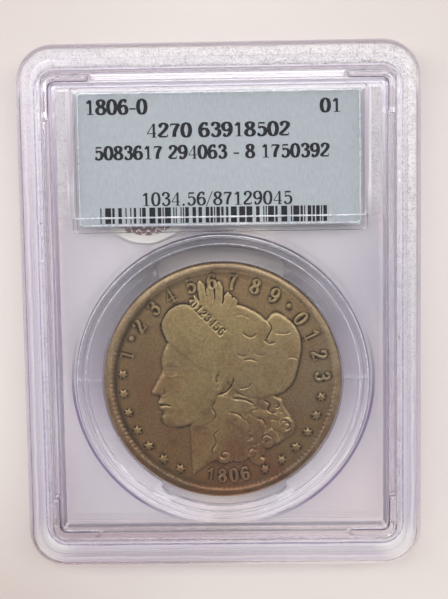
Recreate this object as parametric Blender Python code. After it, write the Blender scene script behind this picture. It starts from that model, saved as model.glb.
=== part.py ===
# A sealed display slab for one large coin, lying on its back with its front face up.
# Two clear shells close over the coin, its split centring ring and a paper label. A tongue on the rear
# shell stands in a channel of the front shell, and a fused bead at the channel's root seals the slab.
# Axes: +X to the right of the front face, +Y towards the label's end, +Z out of the front face.
# The origin is at the middle of the rear rim's resting plane.

import math

import bmesh
import bpy

MM = 0.001

# The coin
COIN_DIAMETER = 38.1 * MM
COIN_THICKNESS = 2.4 * MM
COIN_RIM_WIDTH = 1.3 * MM
COIN_RIM_HEIGHT = 0.25 * MM
COIN_EDGE_CHAMFER = 0.15 * MM

# Clearance between pieces that fit or rest on each other
FIT = 0.3 * MM

# The centring ring: a thin web next to the coin and a tall bead round it
WEB_WIDTH = 2.45 * MM
WEB_HEIGHT = 1.8 * MM
BEAD_WIDTH = 1.8 * MM
BEAD_CHAMFER = 0.35 * MM
RELIEF_HALF_ANGLE = math.radians(30)
RELIEF_MARGIN = 0.2 * MM

# The locating rib of the rear shell round the centring ring
RIB_WIDTH = 0.6 * MM
RIB_HEIGHT = 0.8 * MM

# The label card, its seat on the rear shell and its well in the front shell
LABEL_WIDTH = 44.8 * MM
LABEL_HEIGHT = 21.3 * MM
LABEL_THICKNESS = 0.4 * MM
LABEL_TO_RIB = 0.25 * MM
SEAT_INSET = 0.5 * MM
SEAT_WIDTH = 0.8 * MM
WELL_WALL = 0.6 * MM
WELL_LIP = 0.4 * MM
WELL_CORNER = 0.8 * MM

# The cavity's margins round its contents, and the frame round the cavity
TOP_MARGIN = 0.85 * MM
SIDE_MARGIN = 2.1 * MM
SIDE_FRAME = 4.85 * MM
END_FRAME = 5.55 * MM
CAVITY_CORNER = 1.0 * MM
OUTER_CORNER = 5.9 * MM

# The two faces: window, bevel, ledge and raised rim
WINDOW_THICKNESS = 1.3 * MM
WINDOW_RECESS = 1.2 * MM
WINDOW_INSET = 1.2 * MM
WINDOW_CORNER = 0.6 * MM
LEDGE_INSET = 0.35 * MM
LEDGE_CORNER = 0.9 * MM
LEDGE_DEPTH = 0.7 * MM
RIM_OFFSET = 1.4 * MM
RIM_CORNER = 2.9 * MM
RIM_INNER_FILLET = 0.4 * MM
FRONT_OUTER_FILLET = 1.3 * MM
REAR_OUTER_FILLET = 0.7 * MM
SEAM_CHAMFER = 0.15 * MM

# The stacking rails at the front corners
RAIL_WIDTH = 1.2 * MM
RAIL_RISE = 0.35 * MM
RAIL_LENGTH_X = 6.7 * MM
RAIL_LENGTH_Y = 6.0 * MM

# The welded seam
CHANNEL_INSET = 2.1 * MM
CHANNEL_WIDTH = 1.4 * MM
CHANNEL_ROOF = 1.4 * MM
WELD_BEAD_HEIGHT = 0.4 * MM
TONGUE_CHAMFER = 0.2 * MM

# The round sticker on the back of the rear window
STICKER_DIAMETER = 15.6 * MM
STICKER_THICKNESS = 0.2 * MM
STICKER_X = -12.0 * MM
STICKER_BELOW_LABEL = 2.9 * MM

# Fineness of the round stretches, and how far a joined rib is rooted in its wall
CORNER_STEPS = 7
FILLET_STEPS = 3
ROUND_STEPS = 96
ROOT = 0.2 * MM

# Heights above the resting plane
REAR_WINDOW_BACK = WINDOW_RECESS
REAR_WINDOW_INSIDE = REAR_WINDOW_BACK + WINDOW_THICKNESS
MIDDLE = REAR_WINDOW_INSIDE + FIT + COIN_THICKNESS / 2
FRONT_WINDOW_INSIDE = MIDDLE + COIN_THICKNESS / 2 + FIT
FRONT_WINDOW_FACE = FRONT_WINDOW_INSIDE + WINDOW_THICKNESS
FRONT_RIM = FRONT_WINDOW_FACE + WINDOW_RECESS
CHANNEL_TOP = FRONT_RIM - CHANNEL_ROOF
TONGUE_TOP = CHANNEL_TOP - WELD_BEAD_HEIGHT - 2 * FIT

# Plan sizes, worked out from the contents
COIN_RADIUS = COIN_DIAMETER / 2
WEB_INSIDE = COIN_RADIUS + FIT
BEAD_INSIDE = WEB_INSIDE + WEB_WIDTH
BEAD_OUTSIDE = BEAD_INSIDE + BEAD_WIDTH
RIB_INSIDE = BEAD_OUTSIDE + FIT
RIB_OUTSIDE = RIB_INSIDE + RIB_WIDTH
WELL_INSIDE = (LABEL_WIDTH / 2 + FIT, LABEL_HEIGHT / 2 + FIT)
CAVITY_HALF_WIDTH = max(RIB_OUTSIDE, WELL_INSIDE[0] + WELL_WALL) + SIDE_MARGIN
CAVITY_HALF_HEIGHT = (FIT + RIB_INSIDE + RIB_OUTSIDE + LABEL_TO_RIB + LABEL_HEIGHT
                      + FIT + WELL_WALL + TOP_MARGIN) / 2
COIN_Y = -CAVITY_HALF_HEIGHT + FIT + RIB_INSIDE
LABEL_Y = COIN_Y + RIB_OUTSIDE + LABEL_TO_RIB + LABEL_HEIGHT / 2
OUTER_HALF_WIDTH = CAVITY_HALF_WIDTH + SIDE_FRAME
OUTER_HALF_HEIGHT = CAVITY_HALF_HEIGHT + END_FRAME

FINISHES = {
    "clear_styrene": ((0.86, 0.84, 0.87), 0.08, 0.0),
    "clear_ring": ((0.80, 0.79, 0.83), 0.15, 0.0),
    "fused_styrene": ((0.90, 0.88, 0.90), 0.55, 0.0),
    "toned_silver": ((0.35, 0.29, 0.20), 0.42, 1.0),
    "blue_grey_card": ((0.62, 0.67, 0.71), 0.85, 0.0),
    "cream_sticker": ((0.80, 0.78, 0.66), 0.60, 0.0),
}


def finish(name):
    material = bpy.data.materials.get(name)
    if material is None:
        colour, roughness, metallic = FINISHES[name]
        material = bpy.data.materials.new(name)
        material.use_nodes = True
        shader = material.node_tree.nodes["Principled BSDF"]
        shader.inputs["Base Color"].default_value = (*colour, 1.0)
        shader.inputs["Roughness"].default_value = roughness
        shader.inputs["Metallic"].default_value = metallic
    return material


def add_object(name, bm, finish_name):
    bmesh.ops.recalc_face_normals(bm, faces=bm.faces)
    mesh = bpy.data.meshes.new(name)
    bm.to_mesh(mesh)
    bm.free()
    mesh.shade_smooth()
    mesh.set_sharp_from_angle(angle=math.radians(35))
    mesh.materials.append(finish(finish_name))
    piece = bpy.data.objects.new(name, mesh)
    bpy.context.collection.objects.link(piece)
    return piece


def make_tool(piece):
    """A shape that only adds to or cuts from a piece, and isn't a piece itself."""
    piece.hide_render = True
    piece.display_type = "WIRE"
    return piece


def apply_tool(piece, tool, operation):
    step = piece.modifiers.new(f"{operation.lower()}_{tool.name}", "BOOLEAN")
    step.operation = operation
    step.solver = "EXACT"
    step.object = tool


def rounded(half_width, half_height, radius, z, centre_y=0.0):
    """One level of a loft: a rounded rectangle at height z, anticlockwise from above."""
    points = []
    for side_x, side_y, start in ((1, 1, 0), (-1, 1, 90), (-1, -1, 180), (1, -1, 270)):
        for step in range(CORNER_STEPS + 1):
            angle = math.radians(start + 90 * step / CORNER_STEPS)
            x = side_x * (half_width - radius) + radius * math.cos(angle)
            y = side_y * (half_height - radius) + radius * math.sin(angle)
            points.append((x, centre_y + y, z))
    return points


def loft(name, levels, finish_name, endless=False):
    """Skins a row of outlines. An endless loft is a ring; any other is closed at both ends."""
    bm = bmesh.new()
    loops = [[bm.verts.new(point) for point in points] for points in levels]
    following = loops[1:] + loops[:1] if endless else loops[1:]
    for near, far in zip(loops, following):
        for i in range(len(near)):
            bm.faces.new((near[i - 1], near[i], far[i], far[i - 1]))
    if not endless:
        bm.faces.new(loops[0])
        bm.faces.new(loops[-1])
    return add_object(name, bm, finish_name)


def turned(name, profile, finish_name, centre_y, first=0.0, sweep=math.tau):
    """Turns a closed (radius, z) profile about a vertical axis, by a full turn or by part of one."""
    full = sweep == math.tau
    bm = bmesh.new()
    verts = [bm.verts.new((radius * math.cos(first), radius * math.sin(first), z)) for radius, z in profile]
    face = bm.faces.new(verts)
    geometry = list(face.edges) if full else [face]
    if full:
        bmesh.ops.delete(bm, geom=[face], context="FACES_ONLY")
    bmesh.ops.spin(bm, geom=geometry, cent=(0, 0, 0), axis=(0, 0, 1), angle=sweep,
                   steps=round(ROUND_STEPS * sweep / math.tau), use_merge=full)
    bmesh.ops.translate(bm, verts=bm.verts, vec=(0, centre_y, 0))
    return add_object(name, bm, finish_name)


def inset_outline(half_width, half_height, corner, inset, z):
    """The same outline moved inwards by an equal distance all round."""
    return rounded(half_width - inset, half_height - inset, max(corner - inset, ROOT), z)


def outer_outline(inset, z):
    return inset_outline(OUTER_HALF_WIDTH, OUTER_HALF_HEIGHT, OUTER_CORNER, inset, z)


def cavity_outline(z):
    return rounded(CAVITY_HALF_WIDTH, CAVITY_HALF_HEIGHT, CAVITY_CORNER, z)


def offset_from_cavity(offset, corner, z):
    return rounded(CAVITY_HALF_WIDTH + offset, CAVITY_HALF_HEIGHT + offset, corner, z)


def face_levels(window_z, outwards, outer_fillet):
    """From a window, over its bevel, the ledge and the raised rim, to the top of the outer wall."""
    rim_z = window_z + outwards * WINDOW_RECESS
    ledge_z = rim_z - outwards * LEDGE_DEPTH
    levels = [
        offset_from_cavity(-WINDOW_INSET, WINDOW_CORNER, window_z),
        offset_from_cavity(-LEDGE_INSET, LEDGE_CORNER, ledge_z),
        offset_from_cavity(RIM_OFFSET, RIM_CORNER, ledge_z),
        offset_from_cavity(RIM_OFFSET, RIM_CORNER, rim_z - outwards * RIM_INNER_FILLET),
        offset_from_cavity(RIM_OFFSET + RIM_INNER_FILLET, RIM_CORNER + RIM_INNER_FILLET, rim_z),
    ]
    for step in range(FILLET_STEPS + 1):
        angle = math.pi / 2 * step / FILLET_STEPS
        inset = outer_fillet * (1 - math.sin(angle))
        drop = outer_fillet * (1 - math.cos(angle))
        levels.append(outer_outline(inset, rim_z - outwards * drop))
    return levels


def label_outline(half_width, half_height, z):
    return rounded(half_width, half_height, WELL_CORNER, z, LABEL_Y)


def band(name, outside, inside, low, high, outline):
    """An upright wall between two outlines."""
    return loft(name, [outline(*outside, low), outline(*outside, high),
                       outline(*inside, high), outline(*inside, low)], "clear_styrene", endless=True)


def make_corner_rails():
    """L-shaped rails, as a ring on the ledge's inner edge with its four long stretches cut away."""
    outside = (CAVITY_HALF_WIDTH - LEDGE_INSET + RAIL_WIDTH, CAVITY_HALF_HEIGHT - LEDGE_INSET + RAIL_WIDTH)
    inside = (CAVITY_HALF_WIDTH - LEDGE_INSET, CAVITY_HALF_HEIGHT - LEDGE_INSET)
    low = FRONT_RIM - LEDGE_DEPTH - ROOT
    high = FRONT_RIM + RAIL_RISE
    corner = LEDGE_CORNER + RAIL_WIDTH
    levels = [rounded(*outside, corner, low), rounded(*outside, corner, high),
              rounded(*inside, LEDGE_CORNER, high), rounded(*inside, LEDGE_CORNER, low)]
    rails = make_tool(loft("rail_ring", levels, "clear_styrene", endless=True))
    gap_x = inside[0] - RAIL_LENGTH_X
    gap_y = inside[1] - RAIL_LENGTH_Y
    beyond = 2 * RAIL_WIDTH
    for name, half_x, half_y in (("rail_gap_x", gap_x, outside[1] + beyond),
                                 ("rail_gap_y", outside[0] + beyond, gap_y)):
        bm = bmesh.new()
        bmesh.ops.create_cube(bm, size=2.0)
        bmesh.ops.scale(bm, verts=bm.verts, vec=(half_x, half_y, high - low))
        bmesh.ops.translate(bm, verts=bm.verts, vec=(0, 0, (high + low) / 2))
        apply_tool(rails, make_tool(add_object(name, bm, "clear_styrene")), "DIFFERENCE")
    return rails


def make_front_shell():
    seam_z = MIDDLE + FIT / 2
    levels = face_levels(FRONT_WINDOW_FACE, 1, FRONT_OUTER_FILLET)
    levels += [
        outer_outline(0, seam_z + SEAM_CHAMFER),
        outer_outline(SEAM_CHAMFER, seam_z),
        outer_outline(CHANNEL_INSET, seam_z),
        outer_outline(CHANNEL_INSET, CHANNEL_TOP),
        outer_outline(CHANNEL_INSET + CHANNEL_WIDTH, CHANNEL_TOP),
        outer_outline(CHANNEL_INSET + CHANNEL_WIDTH, seam_z),
        cavity_outline(seam_z),
        cavity_outline(FRONT_WINDOW_INSIDE),
    ]
    shell = loft("front_shell", levels, "clear_styrene")
    apply_tool(shell, make_corner_rails(), "UNION")
    outside = (WELL_INSIDE[0] + WELL_WALL, WELL_INSIDE[1] + WELL_WALL)
    lip_inside = (LABEL_WIDTH / 2 - WELL_LIP, LABEL_HEIGHT / 2 - WELL_LIP)
    root_z = FRONT_WINDOW_INSIDE + ROOT
    wall_low = REAR_WINDOW_INSIDE + RIB_HEIGHT + FIT
    lip_low = MIDDLE + LABEL_THICKNESS / 2 + FIT
    well = loft("label_well", [label_outline(*outside, root_z), label_outline(*outside, wall_low),
                               label_outline(*WELL_INSIDE, wall_low), label_outline(*WELL_INSIDE, lip_low),
                               label_outline(*lip_inside, lip_low), label_outline(*lip_inside, root_z)],
                "clear_styrene", endless=True)
    apply_tool(shell, make_tool(well), "UNION")
    return shell


def make_rear_shell():
    seam_z = MIDDLE - FIT / 2
    tongue_outside = CHANNEL_INSET + FIT
    tongue_inside = CHANNEL_INSET + CHANNEL_WIDTH - FIT
    levels = face_levels(REAR_WINDOW_BACK, -1, REAR_OUTER_FILLET)
    levels += [
        outer_outline(0, seam_z - SEAM_CHAMFER),
        outer_outline(SEAM_CHAMFER, seam_z),
        outer_outline(tongue_outside, seam_z),
        outer_outline(tongue_outside, TONGUE_TOP - TONGUE_CHAMFER),
        outer_outline(tongue_outside + TONGUE_CHAMFER, TONGUE_TOP),
        outer_outline(tongue_inside - TONGUE_CHAMFER, TONGUE_TOP),
        outer_outline(tongue_inside, TONGUE_TOP - TONGUE_CHAMFER),
        outer_outline(tongue_inside, seam_z),
        cavity_outline(seam_z),
        cavity_outline(REAR_WINDOW_INSIDE),
    ]
    shell = loft("rear_shell", levels, "clear_styrene")
    root_z = REAR_WINDOW_INSIDE - ROOT
    rib = [(RIB_INSIDE, root_z), (RIB_OUTSIDE, root_z),
           (RIB_OUTSIDE, REAR_WINDOW_INSIDE + RIB_HEIGHT), (RIB_INSIDE, REAR_WINDOW_INSIDE + RIB_HEIGHT)]
    apply_tool(shell, make_tool(turned("locating_rib", rib, "clear_styrene", COIN_Y)), "UNION")
    outside = (LABEL_WIDTH / 2 - SEAT_INSET, LABEL_HEIGHT / 2 - SEAT_INSET)
    inside = (outside[0] - SEAT_WIDTH, outside[1] - SEAT_WIDTH)
    seat_z = MIDDLE - LABEL_THICKNESS / 2 - FIT
    seat = band("label_seat", outside, inside, root_z, seat_z, label_outline)
    apply_tool(shell, make_tool(seat), "UNION")
    return shell


def make_weld_bead():
    """The fused plastic between the tongue's tip and the channel's root."""
    outside = CHANNEL_INSET + FIT
    inside = CHANNEL_INSET + CHANNEL_WIDTH - FIT
    chamfer = WELD_BEAD_HEIGHT / 4
    low = TONGUE_TOP + FIT
    high = CHANNEL_TOP - FIT
    profile = [(outside, low + chamfer), (outside, high - chamfer), (outside + chamfer, high),
               (inside - chamfer, high), (inside, high - chamfer), (inside, low + chamfer),
               (inside - chamfer, low), (outside + chamfer, low)]
    levels = [outer_outline(inset, z) for inset, z in profile]
    return loft("weld_bead", levels, "fused_styrene", endless=True)


def make_coin():
    low = MIDDLE - COIN_THICKNESS / 2
    high = MIDDLE + COIN_THICKNESS / 2
    field = COIN_RADIUS - COIN_RIM_WIDTH
    shoulder = COIN_RADIUS - COIN_EDGE_CHAMFER
    profile = [(field - COIN_RIM_HEIGHT, high - COIN_RIM_HEIGHT), (field, high), (shoulder, high),
               (COIN_RADIUS, high - COIN_EDGE_CHAMFER), (COIN_RADIUS, low + COIN_EDGE_CHAMFER),
               (shoulder, low), (field, low), (field - COIN_RIM_HEIGHT, low + COIN_RIM_HEIGHT)]
    levels = []
    for radius, z in profile:
        angles = [math.tau * step / ROUND_STEPS for step in range(ROUND_STEPS)]
        levels.append([(radius * math.cos(a), COIN_Y + radius * math.sin(a), z) for a in angles])
    return loft("coin", levels, "toned_silver")


def make_gasket_half(name, facing):
    """Half of the centring ring: its web is cut back over a middle arc, where the coin's edge shows."""
    web_low = MIDDLE - WEB_HEIGHT / 2
    web_high = MIDDLE + WEB_HEIGHT / 2
    low = MIDDLE - COIN_THICKNESS / 2
    high = MIDDLE + COIN_THICKNESS / 2
    profile = [(WEB_INSIDE, web_low), (BEAD_INSIDE, web_low), (BEAD_INSIDE, low),
               (BEAD_OUTSIDE - BEAD_CHAMFER, low), (BEAD_OUTSIDE, low + BEAD_CHAMFER),
               (BEAD_OUTSIDE, high - BEAD_CHAMFER), (BEAD_OUTSIDE - BEAD_CHAMFER, high),
               (BEAD_INSIDE, high), (BEAD_INSIDE, web_high), (WEB_INSIDE, web_high)]
    split = FIT / 2 / WEB_INSIDE
    first = split if facing > 0 else math.pi + split
    half = turned(name, profile, "clear_ring", COIN_Y, first, math.pi - 2 * split)
    cut_inside = WEB_INSIDE - RELIEF_MARGIN
    cut_outside = BEAD_INSIDE - RELIEF_MARGIN
    cut_low = web_low - RELIEF_MARGIN
    cut_high = web_high + RELIEF_MARGIN
    cut = [(cut_inside, cut_low), (cut_outside, cut_low), (cut_outside, cut_high), (cut_inside, cut_high)]
    relief = turned(f"{name}_relief", cut, "clear_ring", COIN_Y,
                    facing * math.pi / 2 - RELIEF_HALF_ANGLE, 2 * RELIEF_HALF_ANGLE)
    apply_tool(half, make_tool(relief), "DIFFERENCE")
    return half


def make_label_card():
    low = MIDDLE - LABEL_THICKNESS / 2
    high = MIDDLE + LABEL_THICKNESS / 2
    bm = bmesh.new()
    bmesh.ops.create_cube(bm, size=1.0)
    bmesh.ops.scale(bm, verts=bm.verts, vec=(LABEL_WIDTH, LABEL_HEIGHT, high - low))
    bmesh.ops.translate(bm, verts=bm.verts, vec=(0, LABEL_Y, MIDDLE))
    return add_object("label_card", bm, "blue_grey_card")


def make_rear_sticker():
    centre_y = LABEL_Y - LABEL_HEIGHT / 2 - STICKER_BELOW_LABEL + STICKER_DIAMETER / 2
    bm = bmesh.new()
    bmesh.ops.create_cone(bm, cap_ends=True, segments=ROUND_STEPS // 2, radius1=STICKER_DIAMETER / 2,
                          radius2=STICKER_DIAMETER / 2, depth=STICKER_THICKNESS)
    z = REAR_WINDOW_BACK - FIT - STICKER_THICKNESS / 2
    bmesh.ops.translate(bm, verts=bm.verts, vec=(STICKER_X, centre_y, z))
    return add_object("rear_sticker", bm, "cream_sticker")


for old in list(bpy.data.objects):
    bpy.data.objects.remove(old)

make_front_shell()
make_rear_shell()
make_weld_bead()
make_coin()
make_gasket_half("gasket_upper_half", 1)
make_gasket_half("gasket_lower_half", -1)
make_label_card()
make_rear_sticker()
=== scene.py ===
import math
import random

import bmesh
import bpy
import numpy as np
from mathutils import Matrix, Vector, noise


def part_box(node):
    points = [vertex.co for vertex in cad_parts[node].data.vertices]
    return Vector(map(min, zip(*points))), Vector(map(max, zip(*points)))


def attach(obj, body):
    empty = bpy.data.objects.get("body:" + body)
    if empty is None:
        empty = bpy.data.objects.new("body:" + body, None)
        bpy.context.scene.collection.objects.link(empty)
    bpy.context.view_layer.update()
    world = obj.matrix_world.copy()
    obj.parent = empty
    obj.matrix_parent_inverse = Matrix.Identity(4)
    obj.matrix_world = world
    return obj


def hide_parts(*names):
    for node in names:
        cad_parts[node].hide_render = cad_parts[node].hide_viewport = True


# A graded coin slab: two clear shells welded round a coin, its split centring ring and a paper label.
# X points right, Y towards the label and Z out of the front. Shapes are in millimetres, but the places
# that a material reads are in metres.

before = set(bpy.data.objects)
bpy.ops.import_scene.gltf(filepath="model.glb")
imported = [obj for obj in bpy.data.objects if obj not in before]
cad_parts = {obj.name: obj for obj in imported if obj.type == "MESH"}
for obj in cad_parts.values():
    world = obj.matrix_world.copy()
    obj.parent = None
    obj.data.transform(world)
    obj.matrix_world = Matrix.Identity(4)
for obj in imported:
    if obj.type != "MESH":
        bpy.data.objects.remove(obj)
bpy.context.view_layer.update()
print("frame loaded, nodes:", len(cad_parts))

toMetres = 0.001


def boxOf(nodeName):  # lowest corner, highest corner, middle and size of a frame node
    low, high = (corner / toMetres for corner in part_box(nodeName))
    return low, high, (low + high) / 2, high - low


coinMiddle, coinSize = boxOf("coin")[2:]
labelLow, labelHigh, labelMiddle, labelSize = boxOf("label_card")
rearLow = boxOf("rear_shell")[0]
frontHigh = boxOf("front_shell")[1]
frontSize = boxOf("front_shell")[3]


def outline(halfX, halfY, corner, z, centreY=0.0, steps=14):  # a rounded rectangle, anticlockwise
    points = []
    for sideX, sideY, start in ((1, 1, 0), (-1, 1, 90), (-1, -1, 180), (1, -1, 270)):
        for step in range(steps + 1):
            angle = math.radians(start + 90 * step / steps)
            points.append(Vector((sideX * (halfX - corner) + corner * math.cos(angle),
                                  centreY + sideY * (halfY - corner) + corner * math.sin(angle), z)))
    return points


def softened(levels, steps=4):  # rounds the corners of a profile of (half X, half Y, corner, z, cut back)
    rows = [np.array(level, float) for level in levels]
    made = [rows[0][:4]]
    for before, here, after in zip(rows[:-2], rows[1:-1], rows[2:]):
        cut = here[4]
        if not cut:
            made.append(here[:4])
            continue
        start = here + (before - here) * min(0.45, cut / np.linalg.norm((before - here)[:4]))
        end = here + (after - here) * min(0.45, cut / np.linalg.norm((after - here)[:4]))
        for t in np.arange(steps + 1) / steps:
            made.append(((1 - t)**2 * start + 2 * t * (1 - t) * here + t * t * end)[:4])
    return made + [rows[-1][:4]]


def skin(rows, endless=False):  # stretches a grid over rows of points, round and round
    if endless:
        rows = rows + rows[:1]
    count, around = len(rows) - 1, len(rows[0])
    bm = bmesh.new()
    bmesh.ops.create_grid(bm, x_segments=around, y_segments=count, size=1)
    for vert in bm.verts:
        column = round((vert.co.x + 1) / 2 * around)
        row = round((vert.co.y + 1) / 2 * count)
        vert.co = rows[row][column % around]
    bmesh.ops.remove_doubles(bm, verts=bm.verts, dist=1e-4)
    if not endless:
        bmesh.ops.holes_fill(bm, edges=bm.edges, sides=0)
    return bm


def turned(profile, centreY, steps=240):  # spins a closed (radius, z) profile
    bm = bmesh.new()
    face = bm.faces.new([bm.verts.new((radius, 0, z)) for radius, z in profile])
    around = list(face.edges)
    bmesh.ops.delete(bm, geom=[face], context="FACES_ONLY")
    bmesh.ops.spin(bm, geom=around, cent=(0, 0, 0), axis=(0, 0, 1), angle=math.radians(360), steps=steps,
                   use_merge=True)
    bmesh.ops.translate(bm, verts=bm.verts, vec=(0, centreY, 0))
    return bm


def join(bm, other):  # moves the faces of one bmesh into another
    mesh = bpy.data.meshes.new("joining")
    other.to_mesh(mesh)
    other.free()
    bm.from_mesh(mesh)
    bpy.data.meshes.remove(mesh)


def addPiece(name, bm, material, sharpAngle=32.0):
    bmesh.ops.recalc_face_normals(bm, faces=bm.faces)
    bmesh.ops.scale(bm, verts=bm.verts, vec=(toMetres,) * 3)
    mesh = bpy.data.meshes.new(name)
    bm.to_mesh(mesh)
    bm.free()
    mesh.shade_smooth()
    mesh.set_sharp_from_angle(angle=math.radians(sharpAngle))
    if material:
        mesh.materials.append(material)
    piece = bpy.data.objects.new(name, mesh)
    bpy.context.collection.objects.link(piece)
    return piece


def unite(piece, tools):  # one real solid from a piece and what is moulded on it
    for tool in tools:
        step = piece.modifiers.new("unite", "BOOLEAN")
        step.operation = "UNION"
        step.solver = "EXACT"
        step.object = tool
    bpy.context.view_layer.update()
    evaluated = piece.evaluated_get(bpy.context.evaluated_depsgraph_get())
    mesh = bpy.data.meshes.new_from_object(evaluated)
    piece.modifiers.clear()
    piece.data = mesh
    for tool in tools:
        bpy.data.objects.remove(tool)
    mesh.shade_smooth()
    mesh.set_sharp_from_angle(angle=math.radians(32))


def flattenShading(piece):  # big flat faces keep flat highlights beside their small fillets
    step = piece.modifiers.new("weighted", "WEIGHTED_NORMAL")
    step.mode = "FACE_AREA"
    step.weight = 100
    step.keep_sharp = True


def place(piece, slotName, *nodes):  # rides on the one body and stands for its frame nodes
    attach(piece, "root")
    if nodes:
        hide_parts(*nodes)
    print("made", piece.name, len(piece.data.polygons))


def newMaterial(name):
    material = bpy.data.materials.new(name)
    material.use_nodes = True
    return material, material.node_tree, material.node_tree.nodes["Principled BSDF"]


def feed(tree, made, inputs):  # sets a node's inputs, or links what feeds them
    for key, value in inputs.items():
        if isinstance(value, bpy.types.NodeSocket):
            tree.links.new(value, made.inputs[key])
        else:
            made.inputs[key].default_value = value


def node(tree, kind, inputs=None, **settings):
    made = tree.nodes.new("ShaderNode" + kind)
    for name, value in settings.items():
        setattr(made, name, value)
    feed(tree, made, inputs or {})
    return made


def sums(tree, operation, first, second=0.0, clamp=False):  # one Math node
    return node(tree, "Math", {0: first, 1: second}, operation=operation, use_clamp=clamp).outputs[0]


def product(tree, first, *others):
    for other in others:
        first = sums(tree, "MULTIPLY", first, other)
    return first


def fade(tree, value, start, end, low=0.0, high=1.0, shape="LINEAR"):  # low at the start, high at the end
    return node(tree, "MapRange", {"Value": value, "From Min": start, "From Max": end, "To Min": low,
                                   "To Max": high}, interpolation_type=shape).outputs[0]


def inMillimetres(tree, value):
    return sums(tree, "MULTIPLY", value, 1 / toMetres)


def objectPlace(tree):
    return node(tree, "TexCoord").outputs["Object"]


def flatPlace(tree):  # the same without its height
    inputs = {0: objectPlace(tree), 1: (1.0, 1.0, 0.0)}
    return node(tree, "VectorMath", inputs, operation="MULTIPLY").outputs[0]


def axisOf(tree, vector, axis):
    return node(tree, "SeparateXYZ", {"Vector": vector}).outputs[axis]


def measure(tree, operation, first, second):  # the distance or the dot product of two vectors
    return node(tree, "VectorMath", {0: first, 1: second}, operation=operation).outputs["Value"]


def noiseOf(tree, scale, detail=3.0, roughness=0.55, stretch=(1, 1, 1)):
    mapped = node(tree, "Mapping", {"Vector": objectPlace(tree), "Scale": stretch}).outputs[0]
    inputs = {"Vector": mapped, "Scale": scale, "Detail": detail, "Roughness": roughness}
    return node(tree, "TexNoise", inputs).outputs["Fac"]


def ramp(tree, factor, stops):  # colours or greys along a factor
    made = node(tree, "ValToRGB", {"Fac": factor})
    elements = made.color_ramp.elements
    while len(elements) < len(stops):
        elements.new(0.5)
    for element, (position, colour) in zip(elements, stops):
        element.position = position
        element.color = (*colour, 1) if isinstance(colour, tuple) else (colour, colour, colour, 1)
    return made.outputs["Color"]


def mix(tree, factor, first, second, blend="MIX"):  # mixes two colours
    made = node(tree, "Mix", {"Factor": factor}, data_type="RGBA", blend_type=blend)
    for socket, value in ((made.inputs[6], first), (made.inputs[7], second)):
        if isinstance(value, bpy.types.NodeSocket):
            tree.links.new(value, socket)
        else:
            socket.default_value = (*value, 1)
    return made.outputs[2]


def bumpOf(tree, height, strength, distance):
    inputs = {"Height": height, "Strength": strength, "Distance": distance}
    return node(tree, "Bump", inputs).outputs["Normal"]


def lettingLightThrough(tree, shader, shade):  # lamps reach what lies behind the clear plastic
    rays = node(tree, "LightPath").outputs["Is Shadow Ray"]
    colour = shade if isinstance(shade, bpy.types.NodeSocket) else (*shade, 1)
    clear = node(tree, "BsdfTransparent", {"Color": colour}).outputs[0]
    both = node(tree, "MixShader", {0: rays, 1: shader.outputs[0], 2: clear}).outputs[0]
    tree.links.new(both, tree.nodes["Material Output"].inputs["Surface"])
    return both


# The two clear shells
shellForm = {
    "sideFrame": 4.85,  # from the cavity to the outer wall, at the sides and at the ends
    "endFrame": 5.55,
    "outerCorner": 5.9,
    "cavityCorner": 1.0,
    "windowRecess": 1.2,
    "windowThickness": 1.3,
    "bevel": (1.2, 0.35),
    "rearBevel": (1.7, 0.55),
    "ledgeInset": 0.35,
    "ledgeDepth": 0.7,
    "steps": [(-0.5, 0.0), (-0.46, 0.05), (-0.2, 0.05), (-0.16, 0.0), (0.12, 0.0), (0.16, 0.05), (0.44, 0.05),
              (0.48, 0.0)],  # offset, rise above the ledge
    "slopeFoot": 1.0,
    "rimOffset": 1.1,
    "rimCorner": 2.6,
    "rimInnerFillet": 0.4,
    "frontFillet": 0.8,
    "rearFillet": 0.2,
    "draft": 0.05,
    "seamChamfer": 0.15,
    "seamGap": 0.02,
    "railWidth": 1.2,
    "railRise": 0.35,
    "railLengthX": 6.7,
    "railLengthY": 6.0,
    "railBend": 1.6,
    "railEnd": [  # how far along, how much lower, and how much of the width
        (0, 0.95, 0.55),
        (0.25, 0.5, 0.8),
        (0.6, 0.2, 0.95),
        (1.0, 0.04, 1),
        (1.5, 0, 1),
    ],
    "railEdge": ((0.0, 0.42), (0.07, 0.24), (0.17, 0.08), (0.32, 0.0)),  # how far in, and how far down
    "channelInset": 2.1,
    "channelWidth": 1.4,
    "channelTop": 6.6,
    "tongueGap": 0.25,
    "tongueTop": 5.6,
    "fit": 0.3,
    "wellWall": 0.6,
    "wellLip": 0.4,
    "seatInset": 0.5,
    "seatWidth": 0.8,
    "ribInside": 23.9,
    "ribOutside": 24.5,
    "ribHeight": 0.8,
}

outerX, outerY = frontSize.x / 2, frontSize.y / 2
cavityX = outerX - shellForm["sideFrame"]
cavityY = outerY - shellForm["endFrame"]
rearRim = rearLow.z
frontRim = frontHigh.z - shellForm["railRise"]
middleZ = (rearRim + frontRim) / 2
rearWindow = rearRim + shellForm["windowRecess"]
frontWindow = frontRim - shellForm["windowRecess"]
rearInside = rearWindow + shellForm["windowThickness"]
frontInside = frontWindow - shellForm["windowThickness"]


def fromCavity(offset, corner, z, cut=0.0):
    return cavityX + offset, cavityY + offset, corner, z, cut


def fromOutside(inset, z, cut=0.0):
    return outerX - inset, outerY - inset, max(shellForm["outerCorner"] - inset, 0.2), z, cut


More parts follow.
